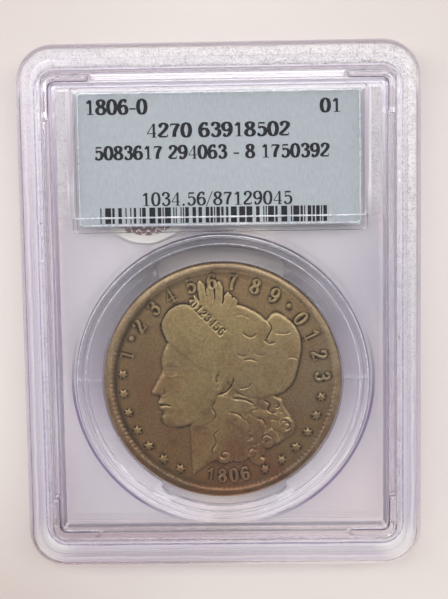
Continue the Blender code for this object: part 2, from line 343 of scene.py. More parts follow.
def faceProfile(windowZ, outwards):  # from a window over the ledge and the raised rim to the outer wall
    f = shellForm
    rimZ = windowZ + outwards * f["windowRecess"]
    ledgeZ = rimZ - outwards * f["ledgeDepth"]
    rimCorner = f["rimCorner"] + f["rimInnerFillet"]
    bevel, bevelTop = f["bevel"] if outwards > 0 else f["rearBevel"]
    levels = [fromCavity(-bevel - 0.3, 0.5, windowZ),
              fromCavity(-bevel, 0.6, windowZ, 0.12),
              fromCavity(-bevelTop, 0.7, ledgeZ, 0.08)]
    levels += [fromCavity(out, 1.0 + out, ledgeZ + outwards * up, 0.02) for out, up in f["steps"]]
    levels += [fromCavity(f["slopeFoot"], f["rimCorner"] - 0.1, ledgeZ, 0.10),
              fromCavity(f["rimOffset"] + f["rimInnerFillet"], rimCorner, rimZ, 0.1)]
    fillet = f["frontFillet"] if outwards > 0 else f["rearFillet"]
    for step in range(9):
        angle = math.radians(90 * step / 8)
        levels.append(fromOutside(f["draft"] + (fillet - f["draft"]) * (1 - math.sin(angle)),
                                  rimZ - outwards * fillet * (1 - math.cos(angle))))
    return levels


def loft(levels, centreY=0.0, endless=False, steps=14):
    return skin([outline(hx, hy, corner, z, centreY, steps) for hx, hy, corner, z in levels], endless)


def cornerRail(signX, signY):  # an upright L with sloping ends, rooted in the ledge
    f = shellForm
    middle = f["railWidth"] / 2
    innerX, innerY = cavityX - f["ledgeInset"], cavityY - f["ledgeInset"]
    bend = f["railBend"]
    ends = [along for along, down, size in f["railEnd"]]
    path = [Vector((innerX - f["railLengthX"] + 0.02 + t, innerY + middle)) for t in ends]
    path += [Vector((innerX + middle - bend + bend * math.sin(a),
                     innerY + middle - bend + bend * math.cos(a)))
             for a in np.radians(np.linspace(0, 90, 13))]
    path += [Vector((innerX + middle, innerY - f["railLengthY"] + 0.02 + t)) for t in reversed(ends)]
    low, high = frontRim - f["ledgeDepth"] - 0.2, frontRim + f["railRise"]
    rows = []
    for i, here in enumerate(path):
        ahead = (path[min(i + 1, len(path) - 1)] - path[max(i - 1, 0)]).normalized()
        across = Vector((-ahead.y, ahead.x))
        fromEnd = min(i, len(path) - 1 - i, 4)
        lower, size = f["railEnd"][fromEnd][1:]
        top, half = high - lower, middle * size
        edge = [(size * side, size * size * down) for side, down in f["railEdge"]]
        section = [(-half, low), (half, low)] + [(half - side, top - down) for side, down in edge]
        section += [(side - half, top - down) for side, down in reversed(edge)]
        rows.append([Vector((signX * (here.x + across.x * side), signY * (here.y + across.y * side), z))
                     for side, z in section])
    return skin(rows)


def seamProfile(outwards, outside, inside, top):  # over a channel or a tongue to the cavity
    f = shellForm
    seamZ = middleZ + outwards * f["seamGap"] / 2
    insideZ = frontInside if outwards > 0 else rearInside
    return [fromOutside(0.0, seamZ + outwards * f["seamChamfer"]), fromOutside(f["seamChamfer"], seamZ),
            fromOutside(outside, seamZ, 0.05), fromOutside(outside, top, 0.25),
            fromOutside(inside, top, 0.25), fromOutside(inside, seamZ, 0.05),
            fromCavity(0, f["cavityCorner"], seamZ, 0.05), fromCavity(0, f["cavityCorner"], insideZ, 0.3),
            fromCavity(-0.8, f["cavityCorner"] - 0.4, insideZ)]


def makeFrontShell(material):
    f = shellForm
    levels = faceProfile(frontWindow, 1)
    levels += seamProfile(1, f["channelInset"], f["channelInset"] + f["channelWidth"], f["channelTop"])
    shell = addPiece("frontShell", loft(softened(levels)), material)
    tools = [addPiece("rail", cornerRail(x, y), material) for x in (-1, 1) for y in (-1, 1)]
    # the label's well: a wall round the card, with a lip in front of its edges
    wellX, wellY = labelSize.x / 2 + f["fit"], labelSize.y / 2 + f["fit"]
    lipX, lipY = labelSize.x / 2 - f["wellLip"], labelSize.y / 2 - f["wellLip"]
    wallLow = rearInside + f["ribHeight"] + f["fit"]
    lipLow = labelHigh.z + f["fit"]
    root = frontInside + 0.2
    wall = f["wellWall"]
    levels = [(wellX + wall, wellY + wall, 0.8, root, 0), (wellX + wall, wellY + wall, 0.8, wallLow, 0.12),
              (wellX, wellY, 0.5, wallLow, 0.1), (wellX, wellY, 0.5, lipLow, 0.0),
              (lipX, lipY, 0.6, lipLow, 0.25), (lipX, lipY, 0.6, root, 0)]
    tools.append(addPiece("well", loft(softened(levels), labelMiddle.y, True, 6), material))
    unite(shell, tools)
    return shell


def makeRearShell(material):
    f = shellForm
    levels = faceProfile(rearWindow, -1)
    levels += seamProfile(-1, f["channelInset"] + f["tongueGap"],
                          f["channelInset"] + f["channelWidth"] - f["tongueGap"], f["tongueTop"])
    shell = addPiece("rearShell", loft(softened(levels)), material)
    # a round rib outside the ring, and a seat for the label
    root, ribTop = rearInside - 0.2, rearInside + f["ribHeight"]
    ribIn, ribOut = f["ribInside"], f["ribOutside"]
    rib = turned([(ribIn, root), (ribOut, root), (ribOut, ribTop - 0.12), (ribOut - 0.12, ribTop),
                  (ribIn + 0.12, ribTop), (ribIn, ribTop - 0.12)], coinMiddle.y)
    seatX, seatY = labelSize.x / 2 - f["seatInset"], labelSize.y / 2 - f["seatInset"]
    seatZ = labelLow.z - f["fit"]
    wide = f["seatWidth"]
    levels = [(seatX, seatY, 0.8, root, 0), (seatX, seatY, 0.8, seatZ, 0.12),
              (seatX - wide, seatY - wide, 0.5, seatZ, 0.12), (seatX - wide, seatY - wide, 0.5, root, 0)]
    seat = loft(softened(levels), labelMiddle.y, True, 6)
    unite(shell, [addPiece("rib", rib, material), addPiece("seat", seat, material)])
    return shell


styreneLook = {
    "tint": (0.868, 0.872, 0.904),
    "frameWidth": 6.2,
    "frameTint": (0.882, 0.862, 0.906),
    "glareTowards": (8.0, 16.0, 0.0),  # painted glare: the upper right of the frame is lighter
    "glareTint": (0.955, 0.955, 0.965),
    "paintedLightAndShade": [  # painted light and shade on the window: place, reach, and the tint there
        ((0.022, -0.0315, 0.0), 0.014, (0.895, 0.885, 0.905)),
        ((0.027, 0.004, 0.0), 0.013, (0.80, 0.81, 0.86)),
        ((-0.028, -0.038, 0.0), 0.006, (1.0, 1.0, 1.0)),
        ((0.028, -0.038, 0.0), 0.006, (1.0, 1.0, 1.0)),
        ((-0.024, -0.016, 0.0), 0.014, (0.91, 0.91, 0.94)),
        ((0.0, -0.0305, 0.0), 0.0085, (0.975, 0.96, 0.95)),
        ((0.0, -0.0358, 0.0), 0.0055, (0.85, 0.835, 0.835)),
        ((0.0048, 0.0115, 0.0), 0.007, (1.0, 1.0, 1.0)),
        ((0.0, 0.0075, 0.0), 0.0045, (0.80, 0.805, 0.86)),
    ],
    "footLightAndShade": ((0.775, 0.74, 0.745), (0.89, 0.88, 0.87)),  # painted light and shade, left and right, at the frame's lower end
    "edgeShade": (0.50, 0.48, 0.50),
    "lineShade": (0.76, 0.70, 0.84),  # painted lines of shade along the ledge
    "lineScale": 3.2,
    "wallPaintedShade": (0.84, 0.785, 0.93),  # painted shade: upright walls are darkened, as light runs along them
    "gapShade": (0.75, 0.75, 0.755),
    "ribShadeLine": (0.17, 0.13, 0.30),
    "railShade": (0.06, 0.045, 0.08),
    "ior": 1.55,
    "roughness": (0.02, 0.06),
    "frost": 0.12,
    "cavityFrost": 2.5,  # times as much on the cavity's wall
    "shade": (0.868, 0.866, 0.884),
    "wallShade": (0.34, 0.31, 0.33),
}


def edgeDistance(tree, halfX=outerX, halfY=outerY, corner=shellForm["outerCorner"]):
    # how far in from the slab's outer wall, or from another rounded outline, a point lies, and its height
    parts = node(tree, "SeparateXYZ", {"Vector": objectPlace(tree)}).outputs
    corner *= toMetres
    acrossX = sums(tree, "SUBTRACT", sums(tree, "ABSOLUTE", parts["X"]), halfX * toMetres - corner)
    acrossY = sums(tree, "SUBTRACT", sums(tree, "ABSOLUTE", parts["Y"]), halfY * toMetres - corner)
    squares = [sums(tree, "POWER", sums(tree, "MAXIMUM", across, 0.0), 2.0) for across in (acrossX, acrossY)]
    outside = sums(tree, "SQRT", sums(tree, "ADD", *squares))
    inside = sums(tree, "MINIMUM", sums(tree, "MAXIMUM", acrossX, acrossY), 0.0)
    gap = sums(tree, "SUBTRACT", corner, sums(tree, "ADD", outside, inside))
    return inMillimetres(tree, gap), inMillimetres(tree, parts["Z"])


def within(tree, value, low, high):  # 1 between two limits, 0 elsewhere
    middle, half = (low + high) / 2, (high - low) / 2
    return sums(tree, "LESS_THAN", sums(tree, "ABSOLUTE", sums(tree, "SUBTRACT", value, middle)), half)


def uprightWalls(tree, low=0.15, high=0.75):  # 1 where the surface stands upright, 0 where it lies flat
    facing = axisOf(tree, node(tree, "NewGeometry").outputs["True Normal"], "Z")
    return fade(tree, sums(tree, "ABSOLUTE", facing), high, low)


def sharpNoise(tree, value, scale):  # uneven stripes along one value
    stripes = node(tree, "TexNoise", {"W": value, "Scale": scale, "Detail": 1.0}, noise_dimensions="1D")
    return fade(tree, stripes.outputs["Fac"], 0.35, 0.6)


def facingInwards(tree):  # 1 where the surface faces the middle of the slab
    facing = measure(tree, "DOT_PRODUCT", node(tree, "NewGeometry").outputs["True Normal"], flatPlace(tree))
    return sums(tree, "LESS_THAN", facing, 0.0)


def clearStyrene():
    look, f = styreneLook, shellForm
    material, tree, shader = newMaterial("clearStyrene")
    inset, height = edgeDistance(tree)
    spot = flatPlace(tree)
    rightward, upward = axisOf(tree, spot, "X"), axisOf(tree, spot, "Y")
    walls = uprightWalls(tree)
    framed = sums(tree, "LESS_THAN", inset, look["frameWidth"])
    tint = mix(tree, framed, look["tint"], look["frameTint"])
    # painted light and shade: spots of the window are lightened or darkened
    for middle, reach, paintedTint in look["paintedLightAndShade"]:
        near = fade(tree, measure(tree, "DISTANCE", spot, middle), reach, 0.0, shape="SMOOTHSTEP")
        tint = mix(tree, near, tint, paintedTint)
    # painted light: the frame is lighter towards the upper right, but for its lower end and a band along its
    # outer edge
    upperRightLean = fade(tree, measure(tree, "DOT_PRODUCT", spot, look["glareTowards"]), -0.4, 0.7)
    tint = mix(tree, product(tree, upperRightLean, framed), tint, look["glareTint"])
    # painted light and shade at the frame's lower end, darker at the left and lighter at the right
    foot = mix(tree, fade(tree, rightward, -0.008, 0.012), *look["footLightAndShade"])
    tint = mix(tree, product(tree, fade(tree, upward, -0.033, -0.039), framed), tint, foot)
    # painted shade: a dark band along the outer edge near the top, at the upper right
    nearTop = sums(tree, "GREATER_THAN", height, frontRim - 0.9)
    band = product(tree, sums(tree, "LESS_THAN", inset, 0.9), nearTop, upperRightLean)
    tint = mix(tree, band, tint, look["edgeShade"])
    # painted lines of shade run unevenly along the front ledge
    aboveWindow = sums(tree, "GREATER_THAN", height, frontWindow + 0.3)
    stripes = sums(tree, "SUBTRACT", 1.0, sharpNoise(tree, inset, look["lineScale"]))
    lined = product(tree, within(tree, inset, 3.6, 6.2), aboveWindow, stripes)
    tint = mix(tree, lined, tint, look["lineShade"])
    # painted shade: the cavity's wall is dark, and so is the outer wall at the upper right
    cavityWall = product(tree, sums(tree, "GREATER_THAN", height, 2.7), within(tree, inset, 4.1, 6.8))
    outerWall = sums(tree, "LESS_THAN", inset, 0.3)
    dark = sums(tree, "MAXIMUM", cavityWall, product(tree, outerWall, upperRightLean))
    tint = mix(tree, product(tree, walls, dark), tint, look["wallPaintedShade"])
    # painted shade: the window is darker over the gap between the coin's upper edge and the ring
    away = inMillimetres(tree, measure(tree, "DISTANCE", spot, Vector((0, coinMiddle.y, 0)) * toMetres))
    gap = product(tree, fade(tree, away, 18.6, 19.6), fade(tree, away, 22.4, 21.6),
                  fade(tree, upward, 0.0035, 0.006))
    tint = mix(tree, gap, tint, look["gapShade"])
    # painted shade: the rib round the ring shows as a violet line at the lower left and the lower right
    rib = product(tree, within(tree, away, f["ribOutside"] - 0.45, f["ribOutside"] + 0.1),
                  within(tree, height, rearInside + 0.05, rearInside + f["ribHeight"] + 0.1),
                  fade(tree, sums(tree, "ABSOLUTE", rightward), 0.005, 0.014),
                  fade(tree, upward, -0.003, -0.015))
    tint = mix(tree, rib, tint, look["ribShadeLine"])
    # painted shade: the rails' inner walls are darkest
    rails = product(tree, sums(tree, "GREATER_THAN", height, frontRim + 0.02), uprightWalls(tree, 0.7, 0.96),
                    facingInwards(tree))
    # polished, but frosted in the channel, on the back and on the cavity's wall
    polish = fade(tree, noiseOf(tree, 900, 4, 0.6, (1, 0.25, 1)), 0.5, 0.8, *look["roughness"])
    channel = product(tree, within(tree, inset, 1.9, 3.7), within(tree, height, 4.1, 6.7))
    cavity = product(tree, walls, within(tree, inset, 4.6, 5.8), look["cavityFrost"])
    frosted = sums(tree, "MAXIMUM", channel, sums(tree, "LESS_THAN", height, 1.5))
    frosted = sums(tree, "MAXIMUM", frosted, cavity)
    feed(tree, shader, {
        "Base Color": mix(tree, rails, tint, look["railShade"]),
        "Roughness": sums(tree, "ADD", polish, product(tree, frosted, look["frost"])),
        "IOR": look["ior"],
        "Transmission Weight": 1.0,
        "Normal": bumpOf(tree, noiseOf(tree, 70, 1), 0.15, 0.0001),
    })
    shade = mix(tree, product(tree, walls, outerWall), look["shade"], look["wallShade"])
    lettingLightThrough(tree, shader, shade)
    return material


# Stippled skins: on the flat of the front rim, and in the window beside the label
skinForm = {
    "thick": 0.02,
    "clear": 0.006,  # above the plastic
    "outside": 0.85,
    "border": 0.2,
    "stippleEdge": 1.9,  # from the cavity
    "stripLow": 22.8,
    "stripHigh": 25.3,
    "lines": 23.75,  # upright lines reach this far from the middle
}

skinLook = {
    # the stipple's grain, painted with glints of light and specks of shade
    "grainsAndGlints": [(0.46, (0.40, 0.385, 0.40)), (0.58, (0.82, 0.805, 0.81)), (0.69, (1.0, 0.995, 0.985))],
    "grainAndGlintTowards": (11.0, 18.0, 0.0),
    "burnt": (0.34, 0.32, 0.36),
    "paintedStreaks": ((0.68, 0.63, 0.75), (0.96, 0.945, 0.965)),
    "inks": ((0.46, 0.41, 0.56), (0.42, 0.395, 0.42)),  # of the broken lines, from lower left to upper right
    "uprights": [(0.4, (0.66, 0.63, 0.69)), (0.55, (0.98, 0.96, 0.98))],
    "highlightCorner": (0.0278, -0.0378),
    "roughness": 0.3,
    "ior": 1.42,
    "clearness": 0.82,
    "shade": (0.93, 0.925, 0.94),
}


def makeStippledSkin(material):
    f = skinForm
    low, high = frontRim + f["clear"], frontRim + f["clear"] + f["thick"]
    inner = shellForm["rimOffset"] + shellForm["rimInnerFillet"] + 0.05
    corner = shellForm["rimCorner"] + shellForm["rimInnerFillet"]
    slope = ((0, low), (f["border"], high))
    levels = [fromOutside(f["outside"] + out, z)[:4] for out, z in slope]
    levels += [fromCavity(inner + out, corner, z)[:4] for out, z in reversed(slope)]
    bm = loft(levels, 0, True)
    wide = (f["stripHigh"] - f["stripLow"]) / 2
    for side in (-1, 1):
        levels = [(wide, labelSize.y / 2, 0.3, frontWindow + f["clear"] + z) for z in (0, f["thick"])]
        strip = loft(levels, labelMiddle.y)
        bmesh.ops.translate(strip, verts=strip.verts, vec=(side * (f["stripLow"] + wide), 0, 0))
        join(bm, strip)
    return addPiece("stippledSkin", bm, material, 30)


def stippledStyrene():
    f, look = skinForm, skinLook
    material, tree, shader = newMaterial("stippledStyrene")
    spot = objectPlace(tree)
    grainsAndGlints, blots, wander = noiseOf(tree, 4800, 2, 0.8), noiseOf(tree, 800, 2), noiseOf(tree, 160, 1)
    # the grain and its painted glints are strongest towards the upper right
    grainAndGlintStrength = fade(tree, measure(tree, "DOT_PRODUCT", spot, look["grainAndGlintTowards"]), -0.1, 0.7, 0.12)
    inset = edgeDistance(tree)[0]
    wavy = sums(tree, "ADD", inset, product(tree, wander, 0.5))
    # the stipple's grain, painted with glints of light and specks of shade
    grey = ramp(tree, sums(tree, "ADD", grainsAndGlints, product(tree, blots, 0.2)), look["grainsAndGlints"])
    # burnt over the weld and in the strips beside the label
    strips = sums(tree, "GREATER_THAN", inset, 5.0)
    burnt = sums(tree, "ADD", product(tree, within(tree, wavy, 2.45, 3.5), blots), strips)
    grey = mix(tree, product(tree, burnt, 0.3), grey, look["burnt"])
    # the stipple ends beside the rim's inner edge and gives way to long soft painted streaks of light and
    # shade at the lower left
    edge = f["stippleEdge"]
    outwards = edgeDistance(tree, cavityX + edge, cavityY + edge, edge + 1.5)[0]
    outwards = sums(tree, "SUBTRACT", product(tree, wander, 0.3), sums(tree, "ADD", outwards, 0.15))
    stippled = product(tree, grainAndGlintStrength, sums(tree, "GREATER_THAN", outwards, 0.0))
    stippled = sums(tree, "MAXIMUM", stippled, product(tree, strips, 0.85))
    grey = mix(tree, stippled, mix(tree, sharpNoise(tree, wavy, 2.6), *look["paintedStreaks"]), grey)
    # painted highlights at both lower corners
    cornerX, cornerY = look["highlightCorner"]
    for side in (-1, 1):
        gap = measure(tree, "DISTANCE", spot, (side * cornerX, cornerY, frontRim * toMetres))
        near = fade(tree, gap, 0.0045, 0.0015, shape="SMOOTHSTEP")
        grey = mix(tree, product(tree, near, 0.9), grey, (1.0, 1.0, 1.0))
    # a broken dark line follows the stipple's edge, and a fainter one the channel's outer wall
    lines = product(tree, within(tree, wavy, 2.42, 2.56), 0.6)
    lines = sums(tree, "MAXIMUM", lines, within(tree, outwards, -0.13, 0.09))
    ragged = sums(tree, "SUBTRACT", noiseOf(tree, 1900, 3, 0.7), product(tree, grainAndGlintStrength, 0.1))
    lines = product(tree, lines, fade(tree, ragged, 0.28, 0.5))
    grey = mix(tree, lines, grey, mix(tree, grainAndGlintStrength, *look["inks"]))
    # beside the label lie upright lines instead
    across = inMillimetres(tree, sums(tree, "ABSOLUTE", axisOf(tree, spot, "X")))
    besideLabel = product(tree, sums(tree, "LESS_THAN", across, f["lines"]), strips)
    uprights = ramp(tree, noiseOf(tree, 3000, 1, 0.5, (1, 0.02, 1)), look["uprights"])
    feed(tree, shader, {
        "Base Color": mix(tree, besideLabel, grey, uprights),
        "Roughness": look["roughness"],
        "IOR": look["ior"],
        "Transmission Weight": look["clearness"],
        "Normal": bumpOf(tree, product(tree, grainsAndGlints, stippled), 1.0, 0.00005),
    })
    # the strips fade away towards the label's lower end
    covered = lettingLightThrough(tree, shader, look["shade"])
    gone = fade(tree, axisOf(tree, spot, "Y"), (labelLow.y + 6) * toMetres, labelLow.y * toMetres)
    faded = node(tree, "MixShader", {0: product(tree, gone, strips), 1: covered,
                                     2: node(tree, "BsdfTransparent").outputs[0]})
    tree.links.new(faded.outputs[0], tree.nodes["Material Output"].inputs["Surface"])
    return material


# The fused bead at the root of the channel
beadForm = {
    "low": 5.72,
    "high": 6.48,
    "outside": 2.3,
    "inside": 3.35,
    "wander": 0.12,
    "step": 0.45,
    "ragged": 0.16,
}

beadLook = {
    "milk": [(0.35, (0.86, 0.85, 0.88)), (0.7, (0.97, 0.96, 0.98))],
    "burnt": (0.16, 0.14, 0.17),
    "roughness": [(0.3, 0.2), (0.75, 0.55)],
    "ior": 1.5,
    "clearness": 0.85,
    "shade": (0.86, 0.85, 0.88),
}


def evenWalk(path, step, closed=True):  # points along a path, about a step apart
    pairs = zip(path, path[1:] + path[:1]) if closed else zip(path[:-1], path[1:])
    points = []
    for here, there in pairs:
        count = max(1, round((there - here).length / step))
        points += [here.lerp(there, i / count) for i in range(count)]
    return points if closed else points + [path[-1]]


def alongAndAcross(points, i, closed=True):  # a flat path's direction at a point, and the one across it
    last = len(points) - 1
    after = points[(i + 1) % len(points)] if closed else points[min(i + 1, last)]
    before = points[i - 1] if closed else points[max(i - 1, 0)]
    ahead = (after - before).normalized()
    return ahead, Vector((ahead.y, -ahead.x, 0))


def roundSection(middle, across, halfWidth, halfHeight, corners=8, shift=0.0):
    return [middle + across * (halfWidth * math.cos(a) + shift) + Vector((0, 0, halfHeight * math.sin(a)))
            for a in np.radians(np.arange(0, 360, 360 / corners))]


def makeWeldBead(material):
    f = beadForm
    middle, half = (f["outside"] + f["inside"]) / 2, (f["inside"] - f["outside"]) / 2
    height, tall = (f["low"] + f["high"]) / 2, (f["high"] - f["low"]) / 2
    path = outline(outerX - middle, outerY - middle, shellForm["outerCorner"] - middle, height, steps=10)
    points = evenWalk(path, f["step"])
    rows = []
    for i, here in enumerate(points):
        across = alongAndAcross(points, i)[1]
        swell = 1 + 0.12 * noise.noise(here * 0.45) + f["ragged"] * noise.noise(here * 2.1)
        shift = f["wander"] * noise.noise(here * 0.6 + Vector((9, 0, 0)))
        rows.append(roundSection(here, across, half * swell, tall * min(1, swell), 10, shift))
    return addPiece("weldBead", skin(rows, True), material, 60)


def fusedStyrene():
    f, look = beadForm, beadLook
    material, tree, shader = newMaterial("fusedStyrene")
    bubbles = node(tree, "TexVoronoi", {"Vector": objectPlace(tree), "Scale": 900.0})
    rough = noiseOf(tree, 500, 4)
    # dark specks of burnt flash along both edges of the bead
    middle, half = (f["outside"] + f["inside"]) / 2, (f["inside"] - f["outside"]) / 2
    offside = sums(tree, "ABSOLUTE", sums(tree, "SUBTRACT", edgeDistance(tree)[0], middle))
    specks = product(tree, fade(tree, offside, half * 0.55, half * 0.9),
                     fade(tree, noiseOf(tree, 1500, 2), 0.47, 0.56))
    feed(tree, shader, {
        "Base Color": mix(tree, specks, ramp(tree, rough, look["milk"]), look["burnt"]),
        "Roughness": ramp(tree, rough, look["roughness"]),
        "IOR": look["ior"],
        "Transmission Weight": look["clearness"],
        "Normal": bumpOf(tree, sums(tree, "ADD", bubbles.outputs["Distance"], rough), 0.9, 0.00025),
    })
    lettingLightThrough(tree, shader, look["shade"])
    return material


# The centring ring round the coin, in two halves that meet at its sides
ringForm = {
    "webInside": 19.35,
    "webOutside": 21.8,
    "beadOutside": 23.6,
    "webHeight": 1.8,
    "beadHeight": 2.4,
    "groove": 20.75,
    "grooveSection": ((-0.1, 0), (-0.02, 0.06), (0.06, 0.06), (0.14, 0)),
    "beadSection": ((1.05, 0), (0.98, 0.06), (0.91, 0), (0.7, 0), (0.5, 0.03), (0.32, 0.1), (0.17, 0.22),
                    (0.06, 0.4), (0.0, 0.65)),  # how far in from the outside, and down from its face
    "reliefAngle": 30.0,
    "reliefOutside": (20.6, 21.45),  # of the lower and of the upper half
    "splitGap": 0.05,
    "ridges": ((23.25, 0.1), (21.95, 0.07)),  # radius and thickness
}

ringLook = {
    "lightAndShadeGreys": [(0.0, (0.36, 0.35, 0.36)), (0.25, (0.63, 0.615, 0.635)), (0.5, (0.79, 0.76, 0.80)),
              (0.8, (1.0, 0.98, 0.985))],  # painted shade and light, from the darker label's side to the lighter far side
    # painted shade on the ring's outer wall
    "wall": (0.34, 0.30, 0.42),
    "roughness": [(0.3, 0.02), (0.7, 0.05)],
    "ior": 1.5,
    "clearness": 0.86,
}


def makeRingHalf(name, facing, material):
    f = ringForm
    split = math.degrees(f["splitGap"] / 2 / f["webInside"])
    edge = 90 - f["reliefAngle"]
    angles = np.concatenate([np.linspace(split, edge - 1.2, 38), np.linspace(edge - 0.8, edge + 1, 10),
                             np.linspace(edge + 1.3, edge + 4.7, 8), np.linspace(edge + 5.5, 90, 16)])
    angles = np.concatenate([angles, 180 - angles[-2::-1]])
    web, bead = f["webHeight"] / 2, f["beadHeight"] / 2
    rows = []
    for angle in angles:
        # the web is cut back over an arc at the middle of each half
        fromSplit = min(angle, 180 - angle)
        t = min(max((fromSplit - edge + 0.8) / 5.5, 0), 1)
        deep = f["reliefOutside"][facing > 0] - f["webInside"]
        inside = f["webInside"] + deep * math.sqrt(1 - (1 - t)**2)
        section = [(inside, -web + 0.12), (inside + 0.12, -web)]
        section += [(max(f["groove"] + out, inside + 0.13 + i * 0.002), up - web)
                    for i, (out, up) in enumerate(f["grooveSection"])]
        section += [(f["webOutside"] - 0.12, -web), (f["webOutside"], -web - 0.08)]
        section += [(f["webOutside"] + out, up - bead) for out, up in ((0.08, 0.16), (0.2, 0.05), (0.4, 0.0))]
        section += [(f["beadOutside"] - out, up - bead) for out, up in f["beadSection"]]
        section += [(radius, -z) for radius, z in reversed(section)]
        a = math.radians(angle) + (0 if facing > 0 else math.pi)
        rows.append([Vector((radius * math.cos(a), coinMiddle.y + radius * math.sin(a), coinMiddle.z + z))
                     for radius, z in section])
    return addPiece(name, skin(rows), material, 40)


def clearRing():
    look = ringLook
    material, tree, shader = newMaterial("clearRing")
    spot = objectPlace(tree)
    # painted shade and light: the ring is greyer on the label's side and whiter on the far side
    downwards = fade(tree, measure(tree, "DOT_PRODUCT", spot, (0.1, -1.0, 0.0)),
                     -(coinMiddle.y + 24) * toMetres, -(coinMiddle.y - 24) * toMetres)
    cloud = ramp(tree, noiseOf(tree, 220, 3), [(0.3, 0.95), (0.7, 1.0)])
    body = mix(tree, 1.0, ramp(tree, downwards, look["lightAndShadeGreys"]), cloud, "MULTIPLY")
    # painted shade: its outer wall is darkened to a line, but its inner wall and the faces where the halves
    # meet aren't
    meeting = sums(tree, "ABSOLUTE", sums(tree, "SUBTRACT", axisOf(tree, spot, "Y"), coinMiddle.y * toMetres))
    away = inMillimetres(tree, measure(tree, "DISTANCE", spot, coinMiddle * toMetres))
    walls = product(tree, uprightWalls(tree, 0.4, 0.9), sums(tree, "GREATER_THAN", meeting, 0.0004),
                    sums(tree, "GREATER_THAN", away, ringForm["webOutside"] + 0.3))
    feed(tree, shader, {
        "Base Color": mix(tree, walls, body, look["wall"]),
        "Roughness": ramp(tree, noiseOf(tree, 1500, 3), look["roughness"]),
        "IOR": look["ior"],
        "Transmission Weight": look["clearness"],
        "Normal": bumpOf(tree, noiseOf(tree, 400, 2), 0.07, 0.0001),
    })
    lettingLightThrough(tree, shader, body)
    return material


def curveThrough(points, steps=8, closed=False):  # a smooth curve through a few chosen points
    p = np.array(points, float)
    count = len(p)
    path = []
    for i in range(count if closed else count - 1):
        before = p[(i - 1) % count] if closed or i else p[0]
        here, there = p[i], p[(i + 1) % count]
        after = p[(i + 2) % count] if closed or i + 2 < count else p[-1]
        for t in np.arange(steps) / steps:
            path.append(0.5 * (2 * here + (there - before) * t
                               + (2 * before - 5 * here + 4 * there - after) * t**2
                               + (3 * here - before - 3 * there + after) * t**3))
    path.append(path[0] if closed else p[-1])
    return np.array(path)


def nearest(path, x, y):  # distance to a path, place along it from 0 to 1, and side of it
    lengths = np.maximum(np.linalg.norm(np.diff(path, axis=0), axis=1), 1e-9)
    best = np.full(x.shape, 1e9)
    along, side = np.zeros(x.shape), np.zeros(x.shape)
    done = 0.0
    for (ax, ay), (bx, by), size in zip(path[:-1], path[1:], lengths):
        ux, uy = (bx - ax) / size, (by - ay) / size
        t = np.clip((x - ax) * ux + (y - ay) * uy, 0, size)
        dx, dy = x - ax - t * ux, y - ay - t * uy
        gap = np.hypot(dx, dy)
        closer = gap < best
        best = np.where(closer, gap, best)
        along = np.where(closer, (done + t) / lengths.sum(), along)
        side = np.where(closer, np.sign(ux * dy - uy * dx), side)
        done += size
    return best, along, side


def depthInside(path, x, y):  # distance from a closed outline, positive inside it
    gap = nearest(path, x, y)[0]
    inside = np.zeros(x.shape, bool)
    for (ax, ay), (bx, by) in zip(path[:-1], path[1:]):
        if ay != by:
            inside ^= ((ay > y) != (by > y)) & (x < ax + (y - ay) * (bx - ax) / (by - ay))
    return np.where(inside, gap, -gap)


def softMax(a, b, blend):
    share = np.clip(0.5 + 0.5 * (a - b) / blend, 0, 1)
    return b + (a - b) * share + blend * share * (1 - share)


def bump(x, y, centreX, centreY, radiusX, radiusY, turn=0.0):
    c, s = math.cos(math.radians(turn)), math.sin(math.radians(turn))
    u = ((x - centreX) * c + (y - centreY) * s) / radiusX
    v = ((y - centreY) * c - (x - centreX) * s) / radiusY
    return np.exp(-(u * u + v * v))


def close(path, x, y, reach):
    low, high = path.min(0) - reach, path.max(0) + reach
    return (x > low[0]) & (x < high[0]) & (y > low[1]) & (y < high[1])


def raiseShape(z, x, y, corners, shoulder, height, straight=False):  # flat on top, with a round shoulder
    path = np.array(corners + corners[:1], float) if straight else curveThrough(corners, 6, True)
    area = close(path, x, y, 0.3)
    t = np.clip(depthInside(path, x[area], y[area]) / shoulder, 0, 1)
    z[area] = softMax(z[area], height * np.sqrt(1 - (1 - t)**2) - 0.1 * (t <= 0), 0.03)


def raiseLine(z, x, y, points, width, height, taper=0.2, steps=8):  # a groove if the height is negative
    path = curveThrough(points, steps)
    area = close(path, x, y, 3 * width)
    gap, along = nearest(path, x[area], y[area])[:2]
    ends = np.sqrt(np.clip(np.minimum(along + 0.02, 1.02 - along) / taper, 0.01, 1))
    z[area] += height * ends * np.exp(-(gap / (width * ends))**2)


def raiseLock(z, x, y, points, width, height, base, strands=3, groove=0.05):  # a lock of hair, or a leaf
    path = curveThrough(points, 6)
    area = close(path, x, y, width)
    gap, along, side = nearest(path, x[area], y[area])
    reach = width * np.sqrt(np.clip(np.minimum((along + 0.02) / 0.14, (1.02 - along) / 0.2), 0.001, 1))
    across = np.clip(gap / reach, 0, 1)
    h = base + height * np.sqrt(1 - across**2)
    h -= groove * (0.5 - 0.5 * np.cos(math.pi * strands * (side * across + 1))) * (1 - across**4)
    z[area] = softMax(z[area], np.where(gap < reach, h, -1), 0.03)


def between(first, second, t):
    return [((1 - t) * a + t * c, (1 - t) * b + t * d) for (a, b), (c, d) in zip(first, second)]


def curlPoints(x, y, radius, turns, start):
    angles = [math.radians(start) + turns * math.tau * q / 10 for q in range(11)]
    return [(x + radius * (1 - 0.078 * q) * math.cos(a), y + radius * (1 - 0.078 * q) * math.sin(a))
            for q, a in enumerate(angles)]


